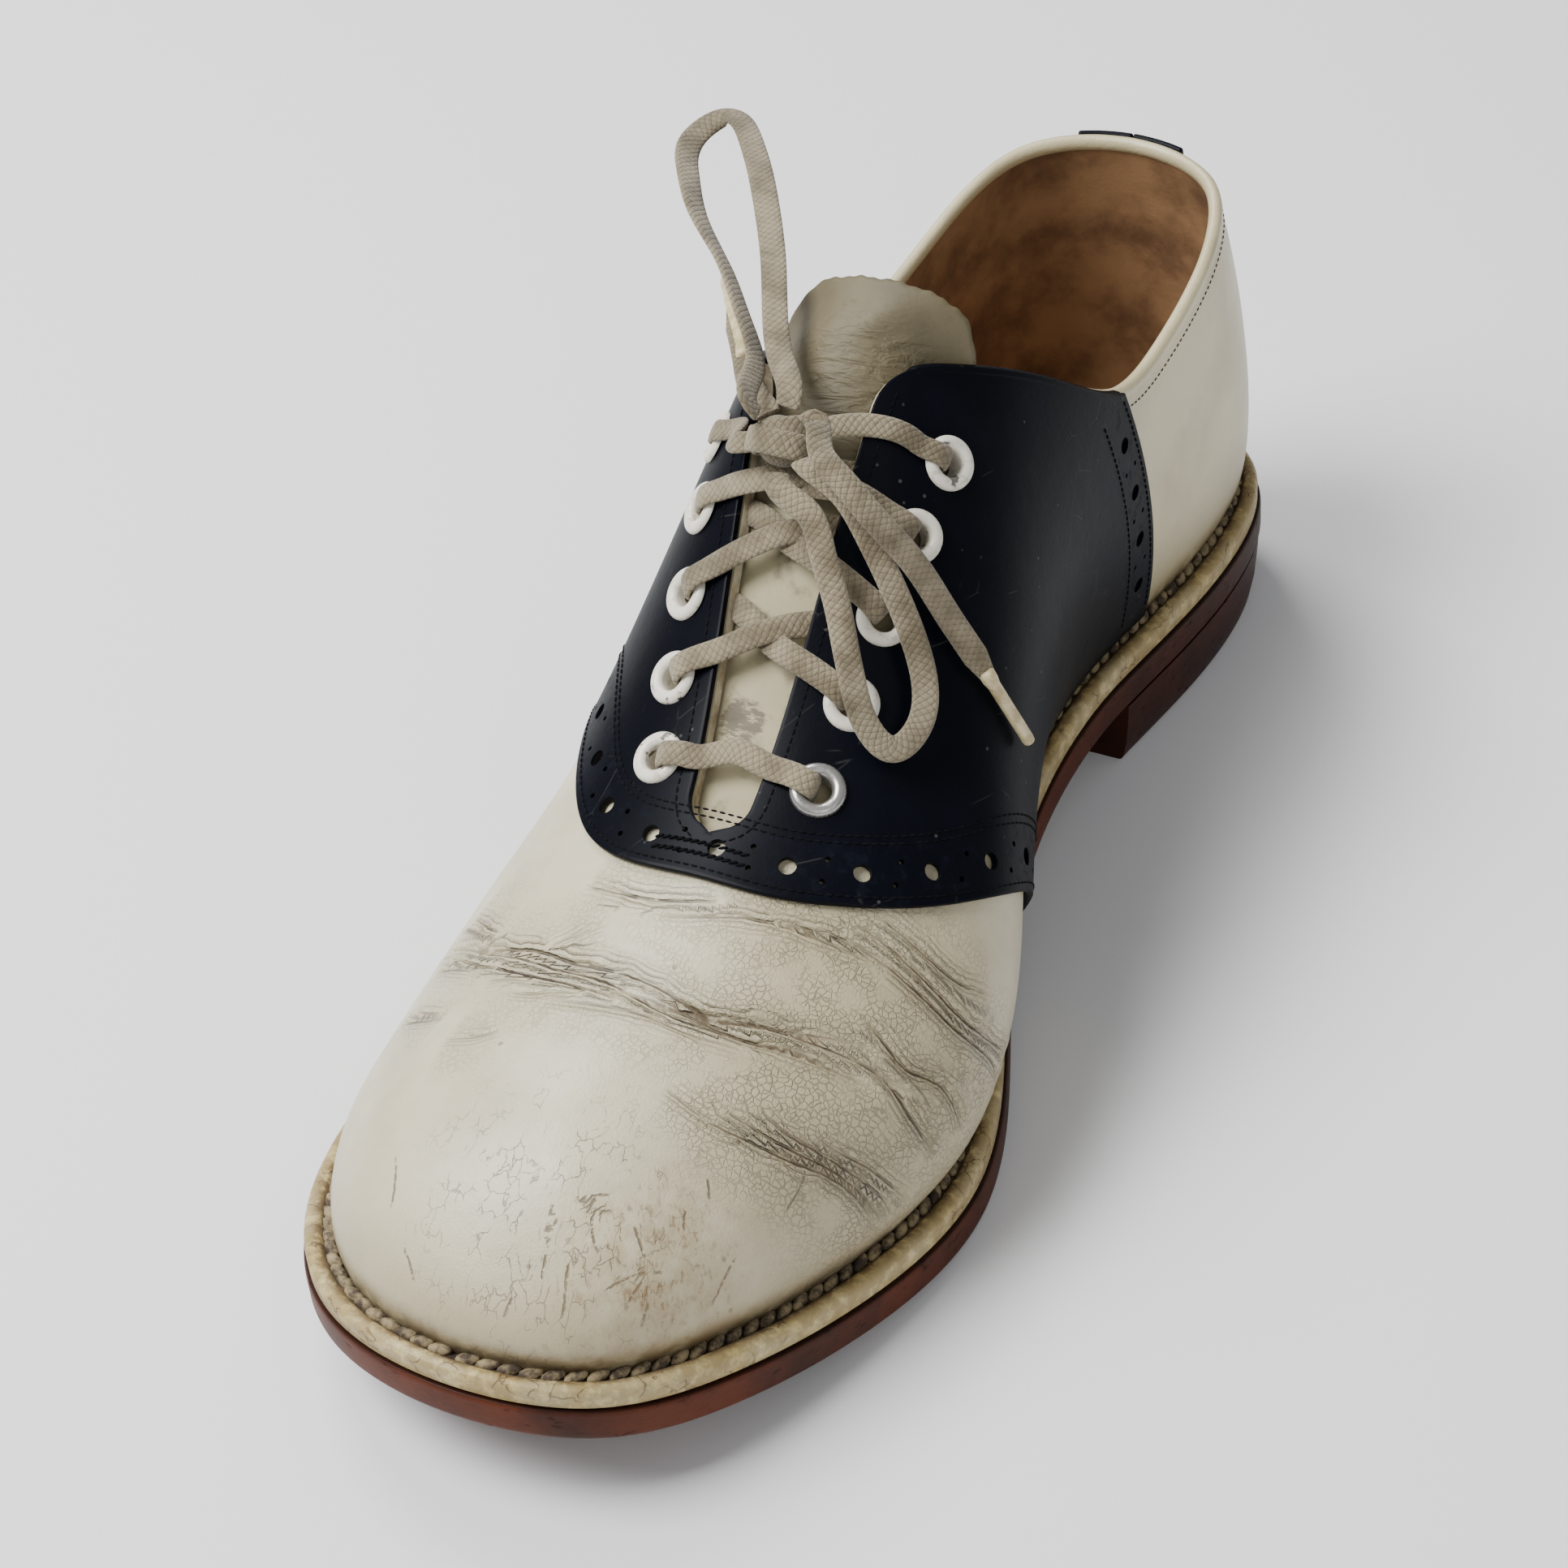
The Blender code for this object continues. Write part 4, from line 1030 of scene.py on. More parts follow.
class Finishes:
    """Every finish of the shoe, made once."""

    def __init__(self) -> None:
        """Make the materials."""
        self.pale = PaleLeather().build()
        self.dark = DarkLeather().build()
        self.tongue = TongueLeather().build()
        self.lining = PlainLeather("tan_lining", srgb(158, 122, 84), srgb(106, 76, 50)).build()
        self.insole = PlainLeather("tan_insole", srgb(140, 104, 70), srgb(84, 58, 38), 0.7, 24.0).build()
        self.edge = PlainLeather("cut_edge", srgb(206, 196, 168), srgb(140, 122, 92), 0.8, 5.0).build()
        self.welt = WeltLeather().build()
        self.rubber = BrickRubber().build()
        self.braid = CottonBraid().build()
        self.eyelet = PaintedMetal().build()
        self.bare_eyelet = PaintedMetal("bare_metal", srgb(186, 184, 178), srgb(176, 174, 170), 0.25).build()
        self.black_thread = Thread("black_thread", srgb(5, 6, 8), srgb(14, 15, 18), 0.7, 0.08).build()
        self.brown_thread = Thread("brown_thread", srgb(62, 48, 40), srgb(30, 24, 22)).build()
        self.rope = Thread("rope_stitch", srgb(150, 134, 100), srgb(62, 50, 38), 0.75).build()
        self.aglet = Thread("aglet_film", srgb(214, 200, 158), srgb(176, 158, 116), 0.35).build()


@dataclass(frozen=True)
class Fold:
    """A crease in the vamp: its line in plan, how deep it is and how wide its trough."""

    line: tuple
    depth: float = 0.40
    width: float = 1.0


FOLDS = (
    Fold(((-15, -63), (-5, -64), (4, -63), (11, -61)), 0.35, 1.4),
    Fold(((2, -67), (8, -65), (16, -62), (26, -60), (32, -59), (37, -58)), 0.30),
    Fold(((19, -61), (26, -59), (33, -57), (39, -57)), 0.30),
    Fold(((34, -51, 57), (41, -51, 52), (47, -50, 46), (51, -45, 40)), 0.35),
    Fold(((31, -54, 57), (40, -54, 52), (46, -54, 46), (51, -53, 40), (54, -47, 30), (53, -43, 23)),
         0.55, 1.2),
    Fold(((31, -57, 57), (39, -57, 52), (45, -57, 48), (50, -56, 42), (54, -51, 30), (53, -48, 22)),
         0.50, 1.1),
    Fold(((-40, -68), (-31, -73), (-23, -75), (-16, -76), (-9, -78), (0, -78), (8, -79), (15, -80), (22, -79),
          (29, -76), (37, -72), (42, -69)), 0.60, 1.3),
    Fold(((-42, -67), (-32, -73), (-26, -76), (-21, -77), (-15, -79), (-6, -80), (3, -81), (12, -83),
          (20, -82), (27, -80), (34, -77), (40, -76), (45, -74)), 0.70, 1.4),
    Fold(((-35, -74), (-28, -78), (-22, -80), (-13, -82), (-2, -83), (4, -84)), 0.50, 1.2),
    Fold(((1, -81), (9, -81), (16, -81), (24, -81), (30, -79), (36, -77), (43, -74)), 0.45),
    Fold(((7, -82), (15, -81), (20, -80), (26, -77), (34, -75), (40, -73), (48, -70)), 0.45),
    Fold(((-9, -87), (-2, -86), (6, -85), (15, -85), (22, -84), (26, -83)), 0.25),
    Fold(((-15, -76), (-11, -73), (-7, -69)), 0.22, 0.9),
    Fold(((-38, -63), (-31, -69), (-26, -72)), 0.35),
    Fold(((-36, -74), (-31, -76), (-28, -78), (-22, -79)), 0.30),
    Fold(((-23, -83), (-18, -83), (-13, -83)), 0.20, 0.8),
    Fold(((-40, -86), (-35, -89), (-30, -91), (-25, -92)), 0.28),
    Fold(((-36, -86), (-33, -88), (-27, -90)), 0.22, 0.8),
    Fold(((-23, -97), (-19, -97), (-15, -96), (-12, -94)), 0.22, 0.9),
    Fold(((-40, -74), (-36, -76), (-32, -78), (-26, -80)), 0.28),
    Fold(((-17, -86), (-12, -86), (-8, -85), (-3, -84)), 0.20, 0.8),
    Fold(((38, -67, 49), (42, -67, 46), (47, -68, 41), (49, -66, 39), (52, -64, 34), (54, -64, 26)),
         0.42, 1.1),
    Fold(((42, -71, 45), (46, -72, 39), (49, -72, 33), (51, -71, 26)), 0.35),
    Fold(((18, -96, 53), (24, -97, 51), (28, -97, 48), (32, -95, 45), (38, -93, 41), (42, -90, 37),
          (46, -87, 30), (47, -85, 22)), 0.40, 1.1),
    Fold(((27, -94, 50), (33, -93, 46), (38, -91, 41), (43, -88, 36), (47, -86, 29), (48, -83, 21)),
         0.42, 1.1),
    Fold(((31, -90, 48), (37, -90, 43), (42, -88, 39), (45, -86, 34), (48, -83, 27), (49, -81, 21)), 0.38),
    Fold(((39, -87, 42), (43, -86, 38), (47, -83, 33), (49, -80, 27), (50, -78, 22)), 0.32),
)
CRACKS = (
    ((12, -121), (12, -126), (13, -131)), ((16, -125), (17, -129), (18, -133)),
    ((22, -117), (25, -118), (26, -121)), ((17, -118), (18, -122), (21, -123)),
    ((11, -119), (11, -125)), ((28, -109), (29, -114)), ((29, -104), (31, -108)),
    ((14, -118), (19, -115)), ((15, -120), (20, -117)), ((13, -119), (18, -117)),
    ((22, -127), (25, -122), (29, -119)), ((25, -126), (27, -120)), ((27, -127), (28, -122)),
    ((34, -117), (35, -112), (36, -108)), ((39, -100), (40, -95), (40, -91)),
    ((-12, -130), (-10, -132), (-7, -135)), ((9, -136), (9, -132)), ((-20, -118), (-17, -123), (-16, -127)),
)


@dataclass
class LineField:
    """Signed distance from each vertex to the nearest of some lines drawn on a surface."""

    count: int
    limit: float = 6.0

    def __post_init__(self) -> None:
        """Start with no line near any vertex."""
        self.near = np.full(self.count, 99.0)
        self.signed = np.full(self.count, self.limit)
        self.strength = np.zeros(self.count)

    def add(self, points: Array, normals: Array, choice: Array, plan: Sequence,
            strength: float) -> tuple[Array, Array, Array]:
        """Draw one line and measure from it.

        Args:
            points: the vertices of the surface.
            normals: their normals.
            choice: numbers of the vertices that the line may lie on.
            plan: the line seen from above.
            strength: how strong it is.

        Returns:
            Numbers of the vertices in reach, their distance, and the line's fade to its ends.
        """
        top = points[choice]
        route = smooth_route(plan, 1.5)
        axes = route.shape[1]
        gaps = np.linalg.norm(top[None, :, :axes] - route[:, None, :], axis=2) - 0.02 * top[None, :, 2]
        line = top[np.argmin(gaps, axis=1)]
        line = np.stack([np.convolve(np.pad(line[:, i], 2, "edge"), np.ones(5) / 5, "valid")
                         for i in range(3)], 1)
        start, edge = line[:-1], np.diff(line, axis=0)
        half = 0.5 * along_path(line)[-1] + 14.0
        index = choice[np.linalg.norm(top - line.mean(0), axis=1) < half]
        spots = points[index]
        part = np.clip(np.einsum("ijk,jk->ij", spots[:, None] - start[None], edge)
                       / np.maximum((edge * edge).sum(1), 1e-9), 0.0, 1.0)
        foot = start[None] + part[..., None] * edge[None]
        away = np.linalg.norm(spots[:, None] - foot, axis=2)
        best = np.argmin(away, axis=1)
        pick = np.arange(len(spots))
        d = away[pick, best]
        at = (best + part[pick, best]) / len(edge)
        fade = np.clip(np.sin(math.pi * np.clip(at, 0.0, 1.0)), 0.0, 1.0) ** 0.45
        turn = np.einsum("ij,ij->i", np.cross(edge[best], spots - foot[pick, best]), normals[index])
        signed = np.clip(np.where(turn < 0.0, -d, d), -self.limit, self.limit)
        closer = d < self.near[index]
        chosen = index[closer]
        self.near[chosen] = d[closer]
        self.signed[chosen] = signed[closer]
        self.strength[chosen] = (fade * strength)[closer]
        return index, d, fade


def plain_notes(piece: Piece, **notes: Array) -> None:
    """Keep the values that the pale leather reads, with those of smooth clean leather where none is given."""
    smooth = {"flex": 0.0, "seam": 6.0, "near": 6.0, "trace": 0.0, "crack": 6.0, "crack_near": 6.0,
              "cracked": 0.0, "low": 60.0}
    for name, value in smooth.items():
        piece.note(name, notes.get(name, np.full(len(piece.bm.verts), value)))


@dataclass
class Upper:
    """Vamp, quarters and lining as one shell, with its collar binding and the strip up its back."""

    finishes: Finishes
    wall: float = 1.9
    crease_depth: float = 1.5
    hollow: float = 0.30
    tuck: float = 1.1
    flex_reach: float = 9.0
    columns: int = 230
    rows: int = 78
    tab_wall: float = 1.2
    tab_heights: tuple = (24.0, 45.0, 65.0, 80.0, 95.0)
    tab_halves: tuple = (9.0, 8.0, 9.0, 12.0, 14.0)
    binding: tuple = (1.75, 1.35)

    def shares(self, u: Array) -> Array:
        """Share from toe to heel for u from 0 to 1, with most sections over the creases."""
        stations = LAST.station(np.array([LAST.toe_pole, LAST.throat_front + 1.0, LAST.heel_pole]))
        return np.interp(u, (0.0, 0.15, 0.52, 0.91, 1.0), (0.0, *stations, 1.0))

    def build(self) -> None:
        """The shell with its holes, the binding, the heel tab and their stitches."""
        piece = Piece("upper_shell")
        grid = np.linspace(0.0, 1.0, self.columns + 1)
        for side in Side:
            tops = LAST.tops(side, self.shares(grid))

            def place(u: Array, v: Array, side: Side = side, tops: Array = tops) -> Array:
                """The upper's face from its foot in the welt's groove to its top edge."""
                points = LAST.face(side, self.shares(u), np.interp(u, grid, tops) * v)
                points[:, 2] -= self.tuck * (v <= 0.0)
                return points
            piece.sheet(self.columns, self.rows, place)
        piece.weld()
        piece.face_out(lambda points: points - np.array((0.0, 0.0, 30.0)))
        self._crease(piece)
        made = piece.finish((self.finishes.pale, self.finishes.lining, self.finishes.edge),
                            ("upper",))
        add_wall(made, self.wall, outward=False, inner=1, rim=2)
        settle(made)
        cut_holes(made, [(seat, normal, 2.5) for _, _, seat, normal in eyelet_seats(0.0)], 6.0, 3.0)
        self._binding()
        self._tab()

    def _crease(self, piece: Piece) -> None:
        """Press the folds into the vamp and keep their lines for the finish."""
        points, normals = piece.spots()
        count = len(points)
        push, flex = np.zeros(count), np.zeros(count)
        folds, cracks = LineField(count), LineField(count)
        front = np.nonzero(points[:, 1] < -35.0)[0]
        for fold in FOLDS:
            index, d, fade = folds.add(points, normals, front, fold.line, min(1.0, fold.depth / 0.4))
            w = fold.width
            push[index] += self.crease_depth * fold.depth * fade * (
                0.45 * np.exp(-((d - 2.1 * w) / w) ** 2) - np.exp(-(d / w) ** 2)
                - self.hollow * np.exp(-(d / (3.6 * w)) ** 2))
            flex[index] = np.maximum(flex[index], fade * np.exp(-(d / self.flex_reach) ** 2))
        for line in CRACKS:
            cracks.add(points, normals, front, line, 1.0)
        piece.move(points + normals * push[:, None])
        plain_notes(piece, flex=flex, seam=folds.signed, near=folds.near, trace=folds.strength,
                    crack=cracks.signed, crack_near=cracks.near, cracked=cracks.strength,
                    low=points[:, 2] - LAST.welt_top(points[:, 1]))

    def collar_route(self, first_y: float, drop: float, count: int = 60) -> Pair:
        """Points and outward normals along the collar, from the medial side round the heel.

        Args:
            first_y: station at which it starts and ends.
            drop: distance in millimetres below the top edge.
            count: points a side.

        Returns:
            The points on the upper's outer face and the normals there.
        """
        spots, ways = [], []
        for side in Side:
            shares = np.linspace(float(LAST.station(first_y)), 1.0, count)
            tops = LAST.tops(side, shares)
            lower = LAST.face(side, shares, tops * 0.97)
            upper = LAST.face(side, shares, tops)
            slope = tops * 0.03 / np.maximum(np.linalg.norm(upper - lower, axis=1), 0.01)
            ups = tops - drop * slope
            points, normals = LAST.over(side, shares, ups)
            order = slice(None) if side is Side.MEDIAL else slice(None, None, -1)
            spots.append(points[order])
            ways.append(normals[order])
        return np.vstack([spots[0], spots[1][1:]]), np.vstack([ways[0], ways[1][1:]])

    def _binding(self) -> None:
        """The folded edge round the collar and the stitches under it."""
        points, normals = self.collar_route(49.0, 1.1)
        middle = points - normals * (self.wall / 2)
        piece = Piece("collar_binding")
        sweep(piece, middle, normals, self.binding, 10, 260)
        piece.weld()
        plain_notes(piece)
        piece.finish((self.finishes.pale,))
        piece = Piece("collar_stitches")
        points, normals = self.collar_route(51.0, 4.0)
        stitch_row(piece, points, normals, 1.5, (0.52, 0.17, 0.14))
        piece.finish((self.finishes.brown_thread,))

    def _tab(self) -> None:
        """The strip up the back seam."""
        half_width = smooth_curve(np.array(self.tab_heights), np.array(self.tab_halves))
        piece = Piece("heel_strip")
        for side in Side:
            length = LAST.sides[side]["length"]

            def share_along(ups: Array, t: float, side: Side = side, length: float = length) -> Array:
                """Share at a part t of the strip's half width."""
                return 1.0 - t * half_width(LAST.face(side, 1.0, ups)[:, 2]) / length
            parts = np.linspace(0.0, 1.0, 17)
            tops = np.array([LAST.top(side, lambda ups, t=t: share_along(ups, t)) for t in parts])

            def place(u: Array, v: Array, side: Side = side, tops: Array = tops,
                      share_along: Callable = share_along) -> Array:
                """The strip's face."""
                ups = LAST.overlay_foot + (np.interp(u, parts, tops) - LAST.overlay_foot) * v
                shares = share_along(ups, u)
                return LAST.over(side, shares, ups, LAST.gap)[0]
            piece.sheet(16, 60, place)
        piece.weld()
        piece.face_out(lambda points: points - np.array((0.0, 80.0, 60.0)))
        piece.note("band", np.zeros(len(piece.bm.verts)))
        made = piece.finish((self.finishes.dark,), ("heel_tab",))
        add_wall(made, self.tab_wall, outward=True)
        add_rounding(made, 0.4)
        settle(made)
        piece = Piece("heel_strip_stitches")
        for side in Side:
            ups = np.linspace(0.05, 0.99, 50) * LAST.top(side, lambda u: np.ones_like(u))
            half = half_width(LAST.face(side, np.ones_like(ups), ups)[:, 2])
            shares = 1.0 - (half - 1.6) / LAST.sides[side]["length"]
            stitch_row(piece, *LAST.over(side, shares, ups, LAST.gap + self.tab_wall), 1.5, (0.5, 0.17, 0.14))
        piece.finish((self.finishes.black_thread,))


def sweep(piece: Piece, route: Array, faces: Array, halves: tuple[float, float], around: int,
          count: int, closed: bool = False, square: float = 2.0,
          ends: tuple[float, float] = (1.0, 1.0)) -> None:
    """Sweep a flat oval along a route and add it to a piece, with its ends closed.

    Args:
        piece: the mesh to add to.
        route: points along its middle.
        faces: direction that its flat face looks in, at each point.
        halves: half its width and half its thickness.
        around: faces round it.
        count: faces along it.
        closed: whether the route is a ring.
        square: how square the oval is, 2 for an ellipse.
        ends: share of the full width at its first and last point.
    """
    run = along_path(route)
    stops = np.linspace(0.0, 1.0, count + 1)
    middle = np.stack([np.interp(stops * run[-1], run, route[:, i]) for i in range(3)], 1)
    face = np.stack([np.interp(stops * run[-1], run, faces[:, i]) for i in range(3)], 1)
    tangent = np.gradient(middle, axis=0)
    if closed:
        tangent[0] = tangent[-1] = middle[1] - middle[-2]
    tangent = unit(tangent)
    face = unit(face - tangent * np.sum(face * tangent, axis=1, keepdims=True))
    across = np.cross(tangent, face)

    def place(u: Array, v: Array) -> Array:
        """Points round the oval at each stop."""
        i = np.rint(u * count).astype(int)
        angle = v * 2 * math.pi
        c, s = np.cos(angle), np.sin(angle)
        wide = halves[0] * np.sign(c) * np.abs(c) ** (2 / square)
        thick = halves[1] * np.sign(s) * np.abs(s) ** (2 / square)
        taper = ends[0] + (1.0 - ends[0]) * np.clip(u * run[-1] / 6.0, 0.0, 1.0)
        taper = taper * (ends[1] + (1.0 - ends[1]) * np.clip((1.0 - u) * run[-1] / 6.0, 0.0, 1.0))
        if not closed:
            cap = np.minimum(u, 1.0 - u) * run[-1] / halves[1]
            taper = taper * np.sqrt(np.clip(1.0 - (1.0 - np.clip(cap, 0.0, 1.0)) ** 2, 0.0, 1.0))
        return middle[i] + across[i] * (wide * taper)[:, None] + face[i] * (thick * taper)[:, None]
    piece.sheet(count, around, place, (run[-1], 1.0))


def stitch_row(piece: Piece, route: Array, normals: Array, pitch: float,
               halves: Triple, slant: float = 0.0, sink: float = 0.35) -> None:
    """Add a row of stitches along a route on a surface.

    Args:
        piece: the mesh to add to.
        route: points on the surface.
        normals: outward normals there.
        pitch: distance from stitch to stitch.
        halves: half a stitch's length, width and height.
        slant: turn of each stitch from the route's direction, in degrees.
        sink: share of its height that lies under the surface.
    """
    run = along_path(route)
    even = np.arange(pitch / 2, run[-1], pitch)
    points = np.stack([np.interp(even, run, route[:, i]) for i in range(3)], 1)
    ups = unit(np.stack([np.interp(even, run, normals[:, i]) for i in range(3)], 1))
    ahead = unit(np.gradient(points, axis=0))
    turn = math.radians(slant)
    for point, up, way in zip(points, ups, ahead):
        side = np.cross(up, way)
        side = side / max(np.linalg.norm(side), 1e-9)
        way = np.cross(side, up)
        lean = way * math.cos(turn) + side * math.sin(turn)
        wide = np.cross(up, lean)
        centre = point + up * halves[2] * (1.0 - 2.0 * sink)
        piece.bead(centre, np.array((wide, up, lean)), (halves[1], halves[2], halves[0]))


def eyelet_seats(height: float) -> Iterator[tuple[Side, int, Array, Array]]:
    """Side, row, centre a height over the upper's face, and normal of every eyelet."""
    for row in EYELETS:
        for side in Side:
            yield side, row.row, *LAST.instep(side, *row.place(side), height)


@dataclass
class Saddle:
    """The dark overlay with its punched bands, stitches and rolled top edge."""

    finishes: Finishes
    off: float = 0.4
    wall: float = 1.3
    columns: int = 150
    rows: int = 96
    band: float = 11.0
    hole_line: float = 5.6
    hole_radius: float = 1.55
    pin_radius: float = 0.5
    pin_apart: float = 1.9
    pitch: float = 12.4
    stitch_in: float = 1.5
    stitch: tuple = (0.62, 0.2, 0.17)

    def __post_init__(self) -> None:
        """Turn the edges into smooth functions."""
        self.rear = rows_curve(SADDLE_EDGES, "up", "rear")
        self.front = {side: rows_curve(SADDLE_EDGES, "up", f"{side.name.lower()}_front") for side in Side}

    @property
    def outer(self) -> float:
        """Height of the saddle's outer face over the upper's."""
        return self.off + self.wall

    def share(self, side: Side, t: Array, up: Array) -> Array:
        """Share from toe to heel at t of the way from the front to the rear edge."""
        front = self.front[side](up)
        return LAST.station(front + (self.rear(up) - front) * t)

    def top(self, side: Side, t: float) -> float:
        """How far up the section at t the saddle goes."""
        return LAST.top(side, lambda ups: self.share(side, t, ups))

    def build(self) -> None:
        """The overlay with its holes, and everything sewn on it."""
        piece = Piece("saddle_overlay")
        grid = np.linspace(0.0, 1.0, self.columns + 1)
        for side in Side:
            tops = np.array([self.top(side, t) for t in grid])

            def place(u: Array, v: Array, side: Side = side, tops: Array = tops) -> Array:
                """The underside of the overlay."""
                ups = LAST.overlay_foot + (np.interp(u, grid, tops) - LAST.overlay_foot) * v
                return LAST.over(side, self.share(side, u, ups), ups, self.off)[0]
            piece.sheet(self.columns, self.rows, place)
        piece.weld(0.04)
        piece.face_out(lambda points: points - np.array((0.0, 0.0, 30.0)))
        points, _ = piece.spots()
        edges = [self.band_route(side, front, self.band / 2)[0] for side in Side for front in (True, False)]
        near = np.min([np.min(np.linalg.norm(points[:, None] - edge[None, ::4], axis=2), axis=1)
                       for edge in edges], axis=0)
        piece.note("band", np.clip(1.0 - (near - 4.5) / 3.0, 0.0, 1.0))
        made = piece.finish((self.finishes.dark, self.finishes.edge), ("saddle",))
        add_wall(made, self.wall, outward=True)
        add_rounding(made, 0.45)
        settle(made)
        cut_holes(made, list(self.holes()), 4.0, 3.0)
        self._stitches()
        self._roll()

    def band_route(self, side: Side, front: bool, inset: float, count: int = 90) -> tuple:
        """Route on the saddle's face that keeps a distance from its front or rear edge.

        Args:
            side: side of the foot.
            front: the front edge, or else the rear one.
            inset: distance in from the edge.
            count: points along it.

        Returns:
            Points on the outer face and normals, from the welt upwards.
        """
        t = 0.0 if front else 1.0
        ups = np.linspace(LAST.overlay_foot + 0.02, self.top(side, t), count)
        ups[-1] -= 0.001
        edge_y = self.front[side](ups) if front else self.rear(ups)
        inward = 1.0 if front else -1.0
        edge = LAST.face(side, LAST.station(edge_y), ups)
        beside = LAST.face(side, LAST.station(edge_y + inward), ups)
        way = unit(np.gradient(edge, axis=0))
        off = beside - edge
        square = np.linalg.norm(off - way * np.sum(off * way, axis=1, keepdims=True), axis=1)
        shares = LAST.station(edge_y + inward * inset / np.maximum(square, 0.35))
        return LAST.over(side, shares, ups, self.outer)

    def front_route(self, inset: float) -> Pair:
        """Route along the whole front edge, from the medial welt over the ridge to the lateral one."""
        medial, medial_out = self.band_route(Side.MEDIAL, True, inset)
        lateral, lateral_out = self.band_route(Side.LATERAL, True, inset)
        return np.vstack([medial, lateral[::-1]]), np.vstack([medial_out, lateral_out[::-1]])

    def holes(self) -> Iterator[tuple[Array, Array, float]]:
        """The punched holes of both bands and the eyelets' holes."""
        insets = [self.hole_line + off for off in (0.0, -self.pin_apart, self.pin_apart)]
        routes = [[self.front_route(inset) for inset in insets]]
        routes += [[self.band_route(side, False, inset) for inset in insets] for side in Side]
        for middle, low, high in routes:
            length = along_path(middle[0])[-1]
            count = int(length / self.pitch)
            start = (length - (count - 1) * self.pitch) / 2
            for i in range(count):
                yield (*self._at(middle, (start + i * self.pitch) / length), self.hole_radius)
                if i < count - 1:
                    share = (start + (i + 0.5) * self.pitch) / length
                    yield from ((*self._at(route, share), self.pin_radius) for route in (low, high))
        for _, _, seat, normal in eyelet_seats(self.outer):
            yield seat, normal, 2.5

    @staticmethod
    def _at(route: Pair, share: float) -> Pair:
        """Point and normal at a share of a route's length."""
        run = along_path(route[0])
        point, normal = (np.array([np.interp(share * run[-1], run, part[:, i]) for i in range(3)])
                         for part in route)
        return point, unit(normal)

    def facing_route(self, side: Side, inset: float) -> Pair:
        """Route beside the slot, a distance outside its edge."""
        y = np.linspace(LAST.throat_front - 2.0, LAST.throat_back - 2.0, 40)
        back = LAST.throat_front + LAST.throat_round
        bend = ((back - y) / (LAST.throat_round + inset)) ** 2
        round_front = (LAST.throat_half_front + inset) * np.sqrt(np.maximum(0.0, 1.0 - bend))
        off = np.where(y < LAST.throat_front + 3.0, round_front, LAST.throat_half(side, y) + inset)
        return LAST.instep(side, y, off, self.outer)

    def _stitches(self) -> None:
        """Rows along both edges of each band, beside the slot, and the bar below it."""
        piece = Piece("saddle_stitches")
        for inset in (self.stitch_in, self.band - 0.6, self.band + 0.6):
            stitch_row(piece, *self.front_route(inset), 1.55, self.stitch)
        for side in Side:
            for inset in (self.stitch_in, self.band - 1.0):
                stitch_row(piece, *self.band_route(side, False, inset), 1.55, self.stitch)
            stitch_row(piece, *self.facing_route(side, 2.4), 1.55, self.stitch)
        for y in (LAST.throat_front - 2.6, LAST.throat_front - 4.4):
            half = np.linspace(-8.5, 8.5, 12)[6:]
            lateral = LAST.instep(Side.LATERAL, np.full(6, y), half[::-1], self.outer)
            medial = LAST.instep(Side.MEDIAL, np.full(6, y), half, self.outer)
            points, normals = (np.vstack(parts) for parts in zip(lateral, medial))
            stitch_row(piece, points, normals, 1.3, (0.85, 0.3, 0.3), slant=24.0)
        piece.finish((self.finishes.black_thread,))

    def _roll(self) -> None:
        """The rolled edge along the top of facings and quarters, down to the collar."""
        piece = Piece("top_edge_roll")
        for side in Side:
            ts = np.linspace(0.66, 0.999, 60)
            tops = np.array([self.top(side, t) for t in ts])
            shares = self.share(side, ts, tops)
            points, normals = LAST.over(side, shares, tops)
            down = unit(LAST.face(side, shares, tops - 0.02) - points)
            middle = points + normals * (self.outer - Upper.wall) / 2 + down * 1.0
            sweep(piece, middle, normals, (1.5, (self.outer + Upper.wall) / 2 + 0.15), 12, 150)
        piece.weld()
        piece.note("band", np.zeros(len(piece.bm.verts)))
        piece.finish((self.finishes.dark,))


